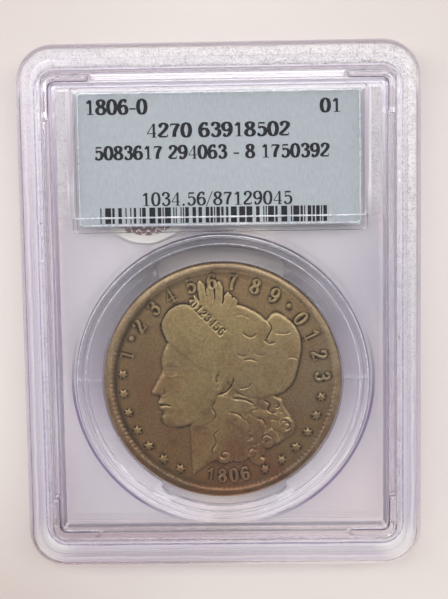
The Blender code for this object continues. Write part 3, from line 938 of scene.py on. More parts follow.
# The head on the coin's front: the outlines of its parts, its creases and its relief
headOutlines = {
    "neck": [(-5.3, -7.0), (-5.25, -9.5), (-5.2, -12.5), (-5.0, -15.2), (-4.0, -14.7), (-1.4, -13.1),
             (3.0, -12.6), (4.4, -9), (4, -4), (0, -2), (-4, -4)],
    "face": [(-6, 7.6), (-8.2, 6.6), (-9.2, 5.2), (-9.65, 3.7), (-9.75, 2.6), (-9.62, 1.8), (-10.0, 0.9),
             (-10.7, -0.5), (-11.3, -1.5), (-11.35, -1.95), (-10.95, -2.25), (-10.25, -2.3), (-10.05, -2.55),
             (-10.15, -3), (-10.4, -3.35), (-10.3, -3.7), (-9.85, -3.92), (-10.2, -4.2), (-10.1, -4.6),
             (-9.65, -4.95), (-9.6, -5.4), (-9.85, -5.95), (-9.7, -6.7), (-9, -7.3), (-7.8, -7.6),
             (-6, -7.35), (-3.8, -6.4), (-1.9, -4.7), (-0.6, -2.5), (1.5, 0.5), (1.5, 5), (-2, 8)],
    "cap": [(-4.4, 13.4), (-3.0, 12.6), (-0.6, 12.5), (2.4, 12.3), (4.6, 11.5), (6.2, 10.5), (7.15, 9.7),
            (7.9, 10.6), (8.8, 10.9), (10.0, 10.3), (11.4, 9.0), (12.4, 7.2), (12.65, 5.0), (12.2, 2.6),
            (11.6, 0.3), (10.6, -1.3), (8.8, -2.4), (4, -3), (0, 1), (-1.6, 6)],
    "nape": [(2, 1), (6, 0), (8.4, -2.6), (9.4, -3.2), (9.8, -4.3), (10.6, -5.6), (11.45, -7.2), (11.3, -8.6),
             (10.0, -9.6), (8.4, -10.5), (7.1, -10.9), (6.6, -12), (5.0, -13.0), (3.6, -12.7), (2.2, -13.3),
             (0.6, -12.8), (-0.6, -13.4), (-1.8, -12.4), (-1.5, -10.4), (-0.7, -8.6), (-1.6, -6.2),
             (-1.2, -3.4)],
}

# what stays dark in a worn head: folds of the cap, partings of the hair, lids, nostril and lips
crevices = [  # points, width, depth
    ([(7.15, 9.7), (7.9, 8.4), (7.3, 7.1), (7.0, 6.2)], 0.15, 0.10),
    ([(8.6, 7.6), (9.9, 7.4), (11.0, 7.7)], 0.12, 0.05),
    ([(6.6, 6.6), (7.6, 5.9), (8.5, 6.2)], 0.14, 0.08),
    ([(3.2, 7.9), (3.9, 7.2), (4.9, 7.0), (5.5, 7.7)], 0.12, 0.07),
    ([(2.2, 4.4), (3.2, 3.9), (4.0, 4.2)], 0.12, 0.05),
    ([(3.4, 3.2), (4.6, 3.4), (5.6, 3.0)], 0.13, 0.06),
    ([(5.2, 4.3), (6.2, 4.0), (6.9, 4.3)], 0.10, 0.04),
    ([(12.1, 3.2), (11.2, 3.7), (10.3, 3.5)], 0.12, 0.05),
    ([(1.6, 10.3), (3.2, 10.6), (4.8, 9.8)], 0.10, 0.03),
    ([(-0.8, -2.3), (0.6, -1.8), (1.5, -0.6), (1.8, 0.6)], 0.16, 0.09),
    ([(2.6, -1.4), (4.0, -1.1), (4.8, -0.3)], 0.13, 0.06),
    ([(1.5, -2.9), (3.4, -3.1), (5.0, -3.9)], 0.16, 0.09),
    ([(6.4, -3.2), (7.5, -3.9), (7.3, -5.0), (8.4, -5.4)], 0.17, 0.10),
    ([(5.2, -6.1), (6.4, -6.5), (6.9, -7.6)], 0.16, 0.09),
    ([(1.0, -5.2), (2.4, -5.5), (3.6, -6.6)], 0.15, 0.08),
    ([(8.6, -3.6), (9.0, -4.2), (8.5, -4.6)], 0.16, 0.09),
    ([(9.1, -7.3), (9.6, -6.6), (10.5, -6.9), (10.6, -7.8), (9.9, -8.2)], 0.14, 0.09),
    ([(6.4, -10.2), (6.2, -9.4), (7.0, -8.9), (7.8, -9.4)], 0.14, 0.08),
    ([(4.2, -12.3), (4.0, -11.6), (4.6, -11.1), (5.3, -11.5)], 0.13, 0.08),
    ([(0.0, -12.7), (-0.4, -12.1), (0.2, -11.6), (0.9, -11.9)], 0.13, 0.08),
    ([(-1.1, -3.2), (-1.7, -4.4), (-1.2, -5.6), (-1.7, -6.8)], 0.13, 0.08),
    ([(-0.7, -8.0), (-1.5, -8.9), (-1.2, -10.2), (-1.9, -11.4), (-1.7, -12.4)], 0.13, 0.08),
    ([(-9.0, 1.5), (-8.4, 1.85), (-7.6, 1.7), (-6.9, 1.2)], 0.09, 0.05),
    ([(-9.45, -1.5), (-9.45, -2.0), (-9.8, -2.25)], 0.10, 0.05),
    ([(-10.2, -3.95), (-9.4, -3.88), (-8.7, -4.0), (-8.3, -4.2)], 0.09, 0.07),
]


def headRelief(z, x, y):
    raiseShape(z, x, y, headOutlines["neck"], 0.9, 0.20)
    raiseShape(z, x, y, headOutlines["face"], 0.8, 0.25)
    onFace = np.clip(z / 0.2, 0, 1)
    z += onFace * (0.05 * bump(x, y, -5.6, -1.6, 3.2, 3.2) - 0.09 * bump(x, y, -8.35, 1.35, 1.2, 0.9, -10)
                   + 0.04 * bump(x, y, -8.9, -6.3, 0.8, 0.9) - 0.04 * bump(x, y, -8.3, -5.2, 1.2, 0.5)
                   + 0.06 * bump(x, y, -9.95, -1.75, 0.55, 0.5) - 0.03 * bump(x, y, -7.9, -2.6, 0.7, 1.2, 20)
                   - 0.05 * bump(x, y, -3.6, -7.6, 2.6, 0.6, 25))
    # brow, eye and lids
    raiseLine(z, x, y, [(-9.45, 2.5), (-8.6, 3.0), (-7.6, 2.95), (-6.6, 2.45)], 0.32, 0.05)
    z += 0.07 * bump(x, y, -8.25, 1.25, 0.62, 0.5)
    raiseLine(z, x, y, [(-9.0, 1.25), (-8.65, 1.75), (-8.0, 1.9), (-7.3, 1.55), (-6.75, 1.05)], 0.16, 0.08)
    raiseLine(z, x, y, [(-8.85, 0.85), (-8.2, 0.65), (-7.5, 0.8), (-6.9, 1.05)], 0.13, 0.05)
    # nostril and lips
    raiseLine(z, x, y, [(-9.55, -1.1), (-9.3, -1.55), (-9.4, -2.05), (-9.75, -2.3)], 0.13, -0.09)
    raiseLine(z, x, y, [(-10.2, -3.92), (-9.4, -3.85), (-8.75, -3.95), (-8.3, -4.15)], 0.12, -0.11)
    raiseLine(z, x, y, [(-10.1, -3.5), (-9.4, -3.5), (-8.7, -3.8)], 0.2, 0.05)
    raiseLine(z, x, y, [(-10.0, -4.3), (-9.4, -4.3), (-8.8, -4.2)], 0.22, 0.06)
    # cap and the hair under it
    raiseShape(z, x, y, headOutlines["nape"], 0.6, 0.15)
    raiseShape(z, x, y, headOutlines["cap"], 0.8, 0.34)
    # ear
    raiseLine(z, x, y, [(-1.35, -0.6), (-1.55, 0.5), (-1.2, 1.6), (-0.3, 2.0), (0.4, 1.4), (0.35, 0.2),
                        (-0.15, -0.7), (-0.6, -1.5), (-1.15, -1.4), (-1.35, -0.6)], 0.26, 0.10)
    raiseLine(z, x, y, [(-0.9, -0.5), (-0.95, 0.4), (-0.5, 1.1)], 0.28, -0.09)
    # hair rolled back from the forehead, over the ear
    upper = [(-8.5, 7.1), (-8.6, 9.2), (-7.3, 10.8), (-5.2, 11.0), (-2.6, 9.2), (-0.6, 7.0), (2.4, 5.4),
             (6.0, 3.8)]
    lower = [(-8.5, 6.8), (-7.8, 6.3), (-6.0, 5.6), (-4.0, 4.0), (-1.6, 2.7), (1.2, 2.2), (3.4, 1.4),
             (6.4, 0.6)]
    for i in range(6):
        lock = between(lower, upper, i / 5)
        lock = [(a, b + 0.2 * math.sin(1.6 * k + 2 * i)) for k, (a, b) in enumerate(lock)]
        raiseLock(z, x, y, lock, 1.05, 0.10, 0.27, 3, 0.035)
    # tangled locks at the nape, some ending in curls
    random.seed(29)
    region = np.array(headOutlines["nape"] + headOutlines["nape"][:1])
    made = 0
    while made < 44:
        startX, startY = random.uniform(-1.2, 10.2), random.uniform(-12.4, -2.2)
        if depthInside(region, np.array([startX]), np.array([startY]))[0] < 0.5:
            continue
        turn = math.radians(random.uniform(-75, 15))
        bend, stride = random.choice((-1, 1)) * random.uniform(0.25, 0.75), random.uniform(0.5, 0.8)
        lock = [(startX, startY)]
        for step in range(4):
            lock.append((lock[-1][0] + stride * math.cos(turn), lock[-1][1] + stride * math.sin(turn)))
            turn += bend
        wide, high, base = random.uniform(0.45, 0.8), random.uniform(0.12, 0.2), random.uniform(0.06, 0.1)
        raiseLock(z, x, y, lock, wide, high, base, 1, 0.03)
        made += 1
    for curl in ((9.9, -7.6, 1.2, 1.1, 40), (6.9, -9.9, 1.1, -1.1, 110), (4.6, -12.0, 0.9, 1.0, -60),
                 (0.2, -12.3, 0.9, 1.0, 200)):
        raiseLock(z, x, y, curlPoints(*curl), 0.5, 0.14, 0.12, 0, 0)
    # band across the crown, in which numerals are cut later
    band = [(-4.9, 12.9), (-3.2, 11.3), (-1.4, 9.5), (0.8, 7.2)]
    raiseLock(z, x, y, band, 0.72, 0.03, 0.33, 0, 0)
    for shift in (-0.72, 0.72):
        raiseLine(z, x, y, [(a + 0.7 * shift, b + 0.72 * shift) for a, b in band], 0.1, -0.09, 0.05)
    # sprig of leaves above the band
    for tipX, tipY, footX in ((-3.4, 15.9, -2.6), (-1.9, 15.2, -1.6), (-0.4, 15.8, -0.6), (1.1, 14.0, 0.5),
                              (2.0, 13.2, 1.3)):
        leaf = [(footX, 11.4), (footX + 0.62 * (tipX - footX) + 0.12, 0.5 * (11.4 + tipY)), (tipX, tipY)]
        raiseLock(z, x, y, leaf, 0.62, 0.06, 0.24, 0, 0)
        raiseLine(z, x, y, leaf, 0.07, -0.05)


# Plain serif numerals in a box 0.6 wide and 1 high: curves, bars with their width, and round ends
numeralForms = {
    "0": ([[(0.3, 0.97), (0.14, 0.86), (0.07, 0.5), (0.14, 0.14), (0.3, 0.03), (0.46, 0.14), (0.53, 0.5),
            (0.46, 0.86), (0.3, 0.97)]], [], []),
    "1": ([[(0.1, 0.79), (0.22, 0.83), (0.31, 0.95)]],
          [(0.33, 0.03, 0.33, 0.97, 0.15), (0.13, 0.025, 0.53, 0.025, 0.05)], []),
    "2": ([[(0.1, 0.76), (0.18, 0.92), (0.33, 0.97), (0.49, 0.86), (0.48, 0.66), (0.3, 0.4), (0.12, 0.2),
            (0.07, 0.06)]],
          [(0.06, 0.06, 0.5, 0.06, 0.12), (0.52, 0.02, 0.55, 0.24, 0.05)], [(0.13, 0.74, 0.075)]),
    "3": ([[(0.1, 0.8), (0.2, 0.95), (0.34, 0.97), (0.47, 0.86), (0.46, 0.66), (0.26, 0.54)],
           [(0.26, 0.54), (0.48, 0.47), (0.53, 0.26), (0.42, 0.06), (0.24, 0.03), (0.09, 0.16)]], [],
          [(0.13, 0.79, 0.075), (0.13, 0.18, 0.075)]),
    "4": ([], [(0.42, 0.03, 0.42, 0.97, 0.14), (0.41, 0.96, 0.04, 0.29, 0.05), (0.03, 0.28, 0.57, 0.28, 0.06),
               (0.28, 0.025, 0.57, 0.025, 0.05)], []),
    "5": ([[(0.13, 0.56), (0.28, 0.63), (0.46, 0.56), (0.53, 0.33), (0.44, 0.1), (0.26, 0.03), (0.09, 0.15)]],
          [(0.14, 0.91, 0.49, 0.91, 0.12), (0.14, 0.95, 0.13, 0.55, 0.05)], [(0.13, 0.17, 0.075)]),
    "6": ([[(0.48, 0.85), (0.38, 0.97), (0.22, 0.9), (0.1, 0.66), (0.08, 0.36), (0.16, 0.1), (0.31, 0.03),
            (0.47, 0.11), (0.53, 0.3), (0.46, 0.52), (0.31, 0.58), (0.14, 0.47)]], [], [(0.46, 0.82, 0.07)]),
    "7": ([[(0.53, 0.92), (0.38, 0.62), (0.29, 0.34), (0.27, 0.03)]],
          [(0.08, 0.91, 0.54, 0.91, 0.12), (0.08, 0.95, 0.06, 0.74, 0.05)], []),
    "8": ([[(0.3, 0.97), (0.15, 0.9), (0.12, 0.75), (0.2, 0.6), (0.3, 0.53), (0.41, 0.6), (0.48, 0.75),
            (0.45, 0.9), (0.3, 0.97)],
           [(0.3, 0.53), (0.13, 0.42), (0.07, 0.25), (0.14, 0.09), (0.3, 0.03), (0.46, 0.09), (0.53, 0.25),
            (0.47, 0.42), (0.3, 0.53)]], [], []),
    "9": ([[(0.12, 0.15), (0.22, 0.03), (0.38, 0.1), (0.5, 0.34), (0.52, 0.64), (0.44, 0.9), (0.29, 0.97),
            (0.13, 0.89), (0.07, 0.7), (0.14, 0.48), (0.29, 0.42), (0.46, 0.53)]], [], [(0.14, 0.18, 0.07)]),
    "-": ([], [(0.12, 0.36, 0.5, 0.36, 0.11)], []),
    "/": ([], [(0.08, -0.08, 0.5, 1.04, 0.06)], []),
    ".": ([], [], [(0.3, 0.07, 0.085)]),
    "*": ([], [], [(0.3, 0.5, 0.16)]),
}


def numeralStrokes(mark, thick, thin):  # each stroke as a path with its width at every point
    curves, bars, ends = numeralForms[mark]
    strokes = []
    for points in curves:
        path = curveThrough(points, 5)
        along = np.gradient(path, axis=0)
        upright = np.abs(along[:, 1]) / np.maximum(np.linalg.norm(along, axis=1), 1e-9)
        strokes.append((path, thin + (thick - thin) * upright**1.5))
    for x1, y1, x2, y2, wide in bars:
        strokes.append((np.array([(x1, y1), (x2, y2)]), np.array([wide, wide])))
    return strokes, ends


def raiseNumeral(z, x, y, mark, centreX, centreY, height, turn, rise):  # cut in if the rise is negative
    c, s = math.cos(turn), math.sin(turn)
    u = ((x - centreX) * c + (y - centreY) * s) / height + 0.3
    v = ((y - centreY) * c - (x - centreX) * s) / height + 0.5
    near = (np.abs(u - 0.3) < 0.6) & (np.abs(v - 0.5) < 0.7)
    gap = np.full(near.sum(), 9.0)
    strokes, ends = numeralStrokes(mark, 0.2, 0.09)
    for path, wide in strokes:
        away, along = nearest(path, u[near], v[near])[:2]
        reach = np.interp(along, np.linspace(0, 1, len(wide)), wide) / 2
        gap = np.minimum(gap, away - reach)
    for endX, endY, radius in ends:
        gap = np.minimum(gap, np.hypot(u[near] - endX, v[near] - endY) - radius * 1.15)
    slope = np.clip(0.5 - gap * height / 0.16, 0, 1)
    if rise > 0:
        z[near] = softMax(z[near], rise * slope * slope * (3 - 2 * slope), 0.02)
    else:
        z[near] += rise * slope


# The coin: two struck faces and a reeded edge
coinForm = {
    "cells": 288,  # across each face
    "reeds": 192,
    "reedDepth": 0.06,
    "rimWidth": 1.0,
    "rimHeight": 0.11,
    "denticles": 150,
    "fieldDepth": 0.21,  # below the coin's highest point
    "faceRadius": 18.78,
    "wear": 0.205,
    "reliefScale": 0.72,
    "starRadius": 16.05,
    "starSize": 0.92,
    "backStarSize": 0.75,
    "letterRise": 0.13,
    "letterStrokes": (0.27, 0.14),
    "leftStars": np.linspace(176, 244, 7),
    "rightStars": np.linspace(-10.4, -65.6, 6),
    "legend": "1*23456789*0123",
    "legendAngles": (164.5, 154.5, 146, 132.7, 121, 107.7, 95.4, 83.4, 70, 58, 47.8, 37.7, 26.3, 14.1, 1.7),
    "legendRadius": 16.0,
    "legendHeight": 2.35,
    "date": "1806",
    "dateRadius": 15.6,
    "dateHeight": 2.15,
    "dateMiddle": -87.6,
    "dateStep": 6.8,
    "bandMarks": "0123456",
    "bandStart": (-4.35, 12.35),
    "bandStep": (0.72, -0.735),
    "wreathRadius": 12.2,
    "leafLength": 3.1,
    "marks": 90,  # of handling, on each face
}


def starOutline(centreX, centreY, radius, turn):
    return [(centreX + radius * size * math.cos(turn + math.radians(30 * i)),
             centreY + radius * size * math.sin(turn + math.radians(30 * i)))
            for i, size in enumerate((1, 0.52) * 6)]


def wearMarks(z, x, y, seed):  # nicks and hairlines from handling
    random.seed(seed)
    for mark in range(coinForm["marks"]):
        angle, away = random.uniform(0, math.tau), 18.5 * math.sqrt(random.random())
        startX, startY = away * math.cos(angle), away * math.sin(angle)
        turn, long = random.uniform(0, math.tau), random.choice((0.3, 0.5, 0.9, 2.4))
        points = [(startX + t * long * math.cos(turn + 0.2 * t), startY + t * long * math.sin(turn + 0.2 * t))
                  for t in (0, 0.5, 1)]
        raiseLine(z, x, y, points, random.uniform(0.06, 0.12), -random.uniform(0.006, 0.02), 0.3, 3)


def strikeRim(z, x, y):  # a worn, low rim with what is left of its denticles
    f = coinForm
    radius, turn = np.hypot(x, y), np.arctan2(y, x)
    inner = f["faceRadius"] - f["rimWidth"]
    wobble = 0.06 * np.sin(3 * turn + 1) + 0.03 * np.sin(11 * turn)
    t = np.clip((radius - inner + 0.2 + wobble) / 0.6, 0, 1)
    z[:] = softMax(z, f["rimHeight"] * t * t * (3 - 2 * t), 0.03)
    teeth = np.exp(-((radius - inner) / 0.3)**2) * (0.5 + 0.5 * np.cos(f["denticles"] * turn))
    z += 0.04 * teeth * np.clip(0.8 - 0.5 * np.sin(turn + 0.5), 0, 1)
    z -= 0.04 * np.clip((radius - f["faceRadius"] + 0.35) / 0.35, 0, 1)**2


def lettering(x, y, facing):  # how high the raised stars and numerals stand, for the dirt beside them
    z = np.zeros(x.shape)
    for star, rise in starsOf(facing):
        raiseShape(z, x, y, star, 0.3, rise, True)
    for mark, centreX, centreY, height, turn, rise in numeralsOf(facing):
        raiseNumeral(z, x, y, mark, centreX, centreY, height, turn, rise)
    return z


def starsOf(facing):
    f = coinForm
    angles = [*f["leftStars"], *f["rightStars"]] if facing > 0 else [90 + 30 * i for i in range(12)]
    size = f["starSize"] if facing > 0 else f["backStarSize"]
    for angle in angles:
        a = math.radians(angle)
        spot = f["starRadius"] * math.cos(a), f["starRadius"] * math.sin(a)
        yield starOutline(*spot, size, a), f["letterRise"]


def numeralsOf(facing):
    f = coinForm
    if facing < 0:
        yield "1", 0.0, 0.4, 9.5, 0.0, 0.18
        return
    for mark, angle in zip(f["legend"], f["legendAngles"]):
        a = math.radians(angle)
        spot = f["legendRadius"] * math.cos(a), f["legendRadius"] * math.sin(a)
        yield mark, *spot, f["legendHeight"], a - math.pi / 2, f["letterRise"]
    for i, mark in enumerate(f["date"]):
        a = math.radians(f["dateMiddle"] + f["dateStep"] * (i - 1.5))
        spot = f["dateRadius"] * math.cos(a), f["dateRadius"] * math.sin(a)
        yield mark, *spot, f["dateHeight"], a + math.pi / 2, f["letterRise"]


def obverseRelief(x, y):
    f = coinForm
    z = np.zeros(x.shape)
    headRelief(z, x, y)
    z *= f["reliefScale"]
    z = -softMax(-z, np.full(z.shape, -f["wear"]), 0.06)
    for points, width, depth in crevices:
        raiseLine(z, x, y, points, width, -depth)
    (startX, startY), (stepX, stepY) = f["bandStart"], f["bandStep"]
    for i, mark in enumerate(f["bandMarks"]):
        raiseNumeral(z, x, y, mark, startX + stepX * i, startY + stepY * i, 1.3, -math.pi / 4, -0.12)
    strikeRim(z, x, y)
    wearMarks(z, x, y, 5)
    return z


def reverseRelief(x, y):  # a laurel wreath round a plain numeral
    f = coinForm
    z = np.zeros(x.shape)
    radius, length = f["wreathRadius"], f["leafLength"]
    for side in (-1, 1):
        stem = [(side * radius * math.cos(math.radians(t)), radius * math.sin(math.radians(t)))
                for t in range(-84, 72, 12)]
        raiseLine(z, x, y, stem, 0.3, 0.14, 0.1)
        for step in range(17):
            t = math.radians(-76 + 9.2 * step)
            footX, footY = side * radius * math.cos(t), radius * math.sin(t)
            for out in (-1, 1):
                lean = t + math.radians(58 if out > 0 else 122)
                tipX, tipY = footX + side * length * math.cos(lean), footY + length * math.sin(lean)
                middle = ((footX + tipX) / 2 + side * 0.3 * math.cos(t) * out,
                          (footY + tipY) / 2 + 0.3 * math.sin(t) * out)
                leaf = [(footX, footY), middle, (tipX, tipY)]
                raiseLock(z, x, y, leaf, 0.62, 0.12, 0.06, 0, 0)
                raiseLine(z, x, y, leaf, 0.08, -0.05, 0.2, 5)
            if step % 3 == 1:
                berry = bump(x, y, side * 10.2 * math.cos(t + 0.07), 10.2 * math.sin(t + 0.07), 0.4, 0.4)
                z[:] = softMax(z, 0.2 * berry, 0.02)
    bow = [(0, -12.1), (1.6, -11.1), (2.9, -11.5), (2.4, -12.7), (0, -12.1)]
    for side in (-1, 1):
        raiseLine(z, x, y, [(side * a, b) for a, b in bow], 0.3, 0.16, 0.05)
        raiseLine(z, x, y, [(0, -12.1), (side * 1.2, -13.4), (side * 2.6, -14.0)], 0.3, 0.14, 0.2)
    z = -softMax(-z, np.full(z.shape, -f["wear"]), 0.06)
    strikeRim(z, x, y)
    wearMarks(z, x, y, 8)
    return z


def blurred(z, reach):  # a box blur in both directions
    for axis in (0, 1):
        padded = np.pad(z, [(reach + 1, reach) if i == axis else (0, 0) for i in (0, 1)], mode="edge")
        total = np.cumsum(padded, axis=axis)
        size = z.shape[axis]
        upper = np.take(total, range(2 * reach + 1, 2 * reach + 1 + size), axis=axis)
        z = (upper - np.take(total, range(size), axis=axis)) / (2 * reach + 1)
    return z


def makeCoinFace(name, relief, facing, material):
    f = coinForm
    cells = f["cells"]
    bm = bmesh.new()
    bmesh.ops.create_grid(bm, x_segments=cells, y_segments=cells, size=1)
    bm.verts.ensure_lookup_table()
    u, v = np.array([vert.co[:2] for vert in bm.verts]).T
    order = np.lexsort((np.round(u, 5), np.round(v, 5)))  # rows of equal v, so that it can be blurred
    # the square grid is wrapped evenly onto a disc
    wide = np.abs(u) > np.abs(v)
    reach = np.where(wide, u, v)
    with np.errstate(divide="ignore", invalid="ignore"):
        turn = np.where(wide, math.pi / 4 * v / u, math.pi / 2 - math.pi / 4 * u / v)
    turn = np.nan_to_num(turn)
    x, y = f["faceRadius"] * reach * np.cos(turn), f["faceRadius"] * reach * np.sin(turn)
    z = relief(x * facing, y)  # the reverse is seen from behind, so it is struck the other way round
    sheet = (z + 2 * lettering(x * facing, y, facing))[order].reshape(cells + 1, cells + 1)
    hollow = np.zeros(len(z))
    hollow[order] = (0.6 * blurred(sheet, 2) + 0.4 * blurred(sheet, 5) - sheet).ravel()
    top = coinSize.z / 2
    rise = bm.verts.layers.float.new("rise")
    dip = bm.verts.layers.float.new("dip")
    for vert, a, b, c, d in zip(bm.verts, x, y, z, hollow):
        vert.co = (a, b, facing * (top - f["fieldDepth"] + c))
        vert[rise], vert[dip] = c / f["wear"], d / 0.07
    # the reeded edge is drawn out of the face's border
    border = [edge for edge in bm.edges if edge.is_boundary]
    for radius, drop, reeded in ((18.93, 0.07, 0), (19.02, 0.2, 1), (19.05, 0.32, 1), (19.05, top - 0.01, 1)):
        grown = bmesh.ops.extrude_edge_only(bm, edges=border)["geom"]
        for vert in (item for item in grown if isinstance(item, bmesh.types.BMVert)):
            a = math.atan2(vert.co.y, vert.co.x)
            reed = reeded * f["reedDepth"] * (0.5 - 0.5 * math.cos(f["reeds"] * a))
            vert.co = ((radius - reed) * math.cos(a), (radius - reed) * math.sin(a), facing * (top - drop))
            vert[dip] = reeded * (0.6 if reed > 0.03 else -0.2)
            vert[rise] = 0.6
        border = [item for item in grown if isinstance(item, bmesh.types.BMEdge) and item.is_boundary]
    bmesh.ops.holes_fill(bm, edges=border, sides=0)
    bmesh.ops.translate(bm, verts=bm.verts, vec=coinMiddle)
    return addPiece(name, bm, material, 50)


def ribbon(path, wide, closed):  # points along a stroke and their half widths to the side
    points = path[:-1] if closed else path
    ahead = np.roll(points, -1, 0) - np.roll(points, 1, 0) if closed else np.gradient(points, axis=0)
    ahead = ahead / np.linalg.norm(ahead, axis=1)[:, None]
    return points, np.stack([-ahead[:, 1], ahead[:, 0]], axis=1) * wide[:len(points), None] / 2


def makeLettering(name, facing, material):  # raised stars and numerals with soft shoulders
    f = coinForm
    bm = bmesh.new()
    foot = coinSize.z / 2 - f["fieldDepth"] - 0.04
    shoulders = ((1.12, 0.0), (1.0, 0.35), (0.84, 0.75), (0.6, 0.95), (0.25, 1.0))
    for star, rise in starsOf(facing):
        corners = np.array(star)
        middle = corners.mean(0)
        rows = [[Vector((*(middle + (corner - middle) * wide), foot + up * (rise + 0.04)))
                 for corner in corners] for wide, up in shoulders]
        join(bm, skin(rows))
    for mark, centreX, centreY, height, turn, rise in numeralsOf(facing):
        spin = np.array(((math.cos(turn), math.sin(turn)), (-math.sin(turn), math.cos(turn)))) * height
        strokes, ends = numeralStrokes(mark, *f["letterStrokes"])
        for path, wide in strokes:
            closed = np.allclose(path[0], path[-1])
            if not closed:  # soft ends
                before = path[:1] - 0.02 * (path[1] - path[0])
                after = path[-1:] + 0.02 * (path[-1] - path[-2])
                path = np.concatenate([before, path, after])
                wide = np.concatenate([wide[:1] * 0.6, wide, wide[-1:] * 0.6])
            points, side = ribbon((path - (0.3, 0.5)) @ spin + (centreX, centreY), wide * height, closed)
            section = [(out, up) for out, up in shoulders] + [(-out, up) for out, up in reversed(shoulders)]
            rows = [[Vector((*(point + across * out), foot + up * (rise + 0.04))) for out, up in section]
                    for point, across in zip(points, side)]
            join(bm, skin(rows, closed))
        for endX, endY, radius in ends:
            middle = np.array((endX - 0.3, endY - 0.5)) @ spin + (centreX, centreY)
            rows = [[Vector((middle[0] + height * radius * 1.2 * wide * math.cos(a),
                             middle[1] + height * radius * 1.2 * wide * math.sin(a),
                             foot + up * (rise + 0.04)))
                     for a in np.radians(np.arange(0, 360, 30))] for wide, up in shoulders]
            join(bm, skin(rows))
    riseLayer = bm.verts.layers.float.new("rise")
    dipLayer = bm.verts.layers.float.new("dip")
    for vert in bm.verts:
        up = min((vert.co.z - foot) / (f["letterRise"] + 0.04), 1)
        vert[riseLayer], vert[dipLayer] = 0.6 * up, 0.9 - 1.2 * up
        if facing < 0:
            vert.co.x, vert.co.z = -vert.co.x, -vert.co.z
    bmesh.ops.translate(bm, verts=bm.verts, vec=coinMiddle)
    return addPiece(name, bm, material, 60)


tonedLook = {
    "metallic": 0.85,
    "high": (0.297, 0.222, 0.099),
    # worn edges: rubbed toning with a painted highlight
    "edge": (0.42, 0.33, 0.19),
    "low": (0.192, 0.130, 0.062),
    "rim": (0.31, 0.225, 0.13),
    "rimFootShade": (0.38, 0.38, 0.40),
    "dark": (0.028, 0.018, 0.011),
    "warm": (0.19, 0.088, 0.044),
    "grey": (0.21, 0.18, 0.125),
    "stainAndPaintedShade": (0.07, 0.042, 0.028),
    "lean": [  # toning with painted light: redder at the lower left, lighter at the upper right
        (0.0, (1.04, 0.88, 0.78)),
        (0.5, (1.0, 1.0, 1.0)),
        (1.0, (1.13, 1.14, 1.10)),
    ],
    "roughness": (0.32, 0.55),
}


def aroundMiddle(tree, middle):  # a place counted from a round piece's middle, and how far out it is
    moved = node(tree, "Mapping", {"Vector": objectPlace(tree),
                                   "Location": (-middle.x * toMetres, -middle.y * toMetres, 0)}).outputs[0]
    parts = node(tree, "SeparateXYZ", {"Vector": moved}).outputs
    squares = [sums(tree, "POWER", parts[axis], 2.0) for axis in ("X", "Y")]
    return moved, parts, inMillimetres(tree, sums(tree, "SQRT", sums(tree, "ADD", *squares)))


def tonedSilver():
    look = tonedLook
    material, tree, shader = newMaterial("tonedSilver")
    rise = node(tree, "Attribute", attribute_name="rise").outputs["Fac"]
    dip = node(tree, "Attribute", attribute_name="dip").outputs["Fac"]
    spot, parts, away = aroundMiddle(tree, coinMiddle)
    cloud, grain = noiseOf(tree, 130, 4), noiseOf(tree, 3000, 3, 0.65)
    # worn high points are lighter than the field, and the rim darkens downwards with painted shade
    worn = sums(tree, "MULTIPLY", rise, 0.8, clamp=True)
    colour = mix(tree, worn, look["low"], look["high"])
    onRim = fade(tree, away, 17.3, 17.9)
    darkening = mix(tree, fade(tree, parts["Y"], 0.004, -0.018), (1.0, 1.0, 1.0), look["rimFootShade"])
    colour = mix(tree, onRim, colour, mix(tree, 1.0, look["rim"], darkening, "MULTIPLY"))
    # warm and pale patches, and a tone that turns from redder at the lower left to lighter at the upper
    # right, toning with painted light
    lower = fade(tree, parts["Y"], 0.002, -0.015, 0.3)
    colour = mix(tree, product(tree, fade(tree, cloud, 0.45, 0.62), lower, 0.8), colour, look["warm"])
    pale = fade(tree, noiseOf(tree, 90, 2), 0.55, 0.8)
    colour = mix(tree, product(tree, pale, 0.5), colour, look["grey"])
    leaning = fade(tree, measure(tree, "DOT_PRODUCT", spot, (22.0, 45.0, 0.0)), -0.9, 0.9)
    colour = mix(tree, 1.0, colour, ramp(tree, leaning, look["lean"]), "MULTIPLY")
    # worn edges are lighter: rubbed toning with a painted highlight
    edge = sums(tree, "MULTIPLY", dip, -0.9, clamp=True)
    edge = product(tree, edge, sums(tree, "SUBTRACT", 0.6, product(tree, onRim, 0.45)))
    colour = mix(tree, edge, colour, look["edge"])
    # a dark ring of tone lies inside the rim, strongest at the left
    ring = fade(tree, sums(tree, "ABSOLUTE", sums(tree, "SUBTRACT", away, 17.2)), 0.8, 0.1)
    leftward = fade(tree, parts["X"], 0.012, -0.016, 0.15, 1.1)
    ring = product(tree, ring, leftward, sums(tree, "ADD", cloud, 0.35))
    stainsAndPaintedShade = fade(tree, noiseOf(tree, 260, 5, 0.7), 0.5, 0.7)
    stainsAndPaintedShade = product(tree, stainsAndPaintedShade, sums(tree, "ADD", product(tree, onRim, 0.35), 0.4), lower)
    colour = mix(tree, stainsAndPaintedShade, colour, look["stainAndPaintedShade"])
    # dirt gathers in the hollows beside the raised shapes
    hollow = sums(tree, "MULTIPLY", dip, 1.25, clamp=True)
    grime = sums(tree, "MAXIMUM", ring, hollow)
    grime = sums(tree, "MULTIPLY", grime, sums(tree, "ADD", product(tree, grain, 0.8), 0.6), clamp=True)
    colour = mix(tree, grime, colour, look["dark"])
    colour = mix(tree, 0.32, colour, ramp(tree, grain, [(0.34, 0.16), (0.66, 0.84)]), "OVERLAY")
    feed(tree, shader, {
        "Base Color": colour,
        "Metallic": look["metallic"],
        "Roughness": fade(tree, sums(tree, "ADD", grain, grime), 0.3, 1.2, *look["roughness"]),
        "Normal": bumpOf(tree, sums(tree, "ADD", grain, noiseOf(tree, 5000, 3)), 0.35, 0.00003),
    })
    return material


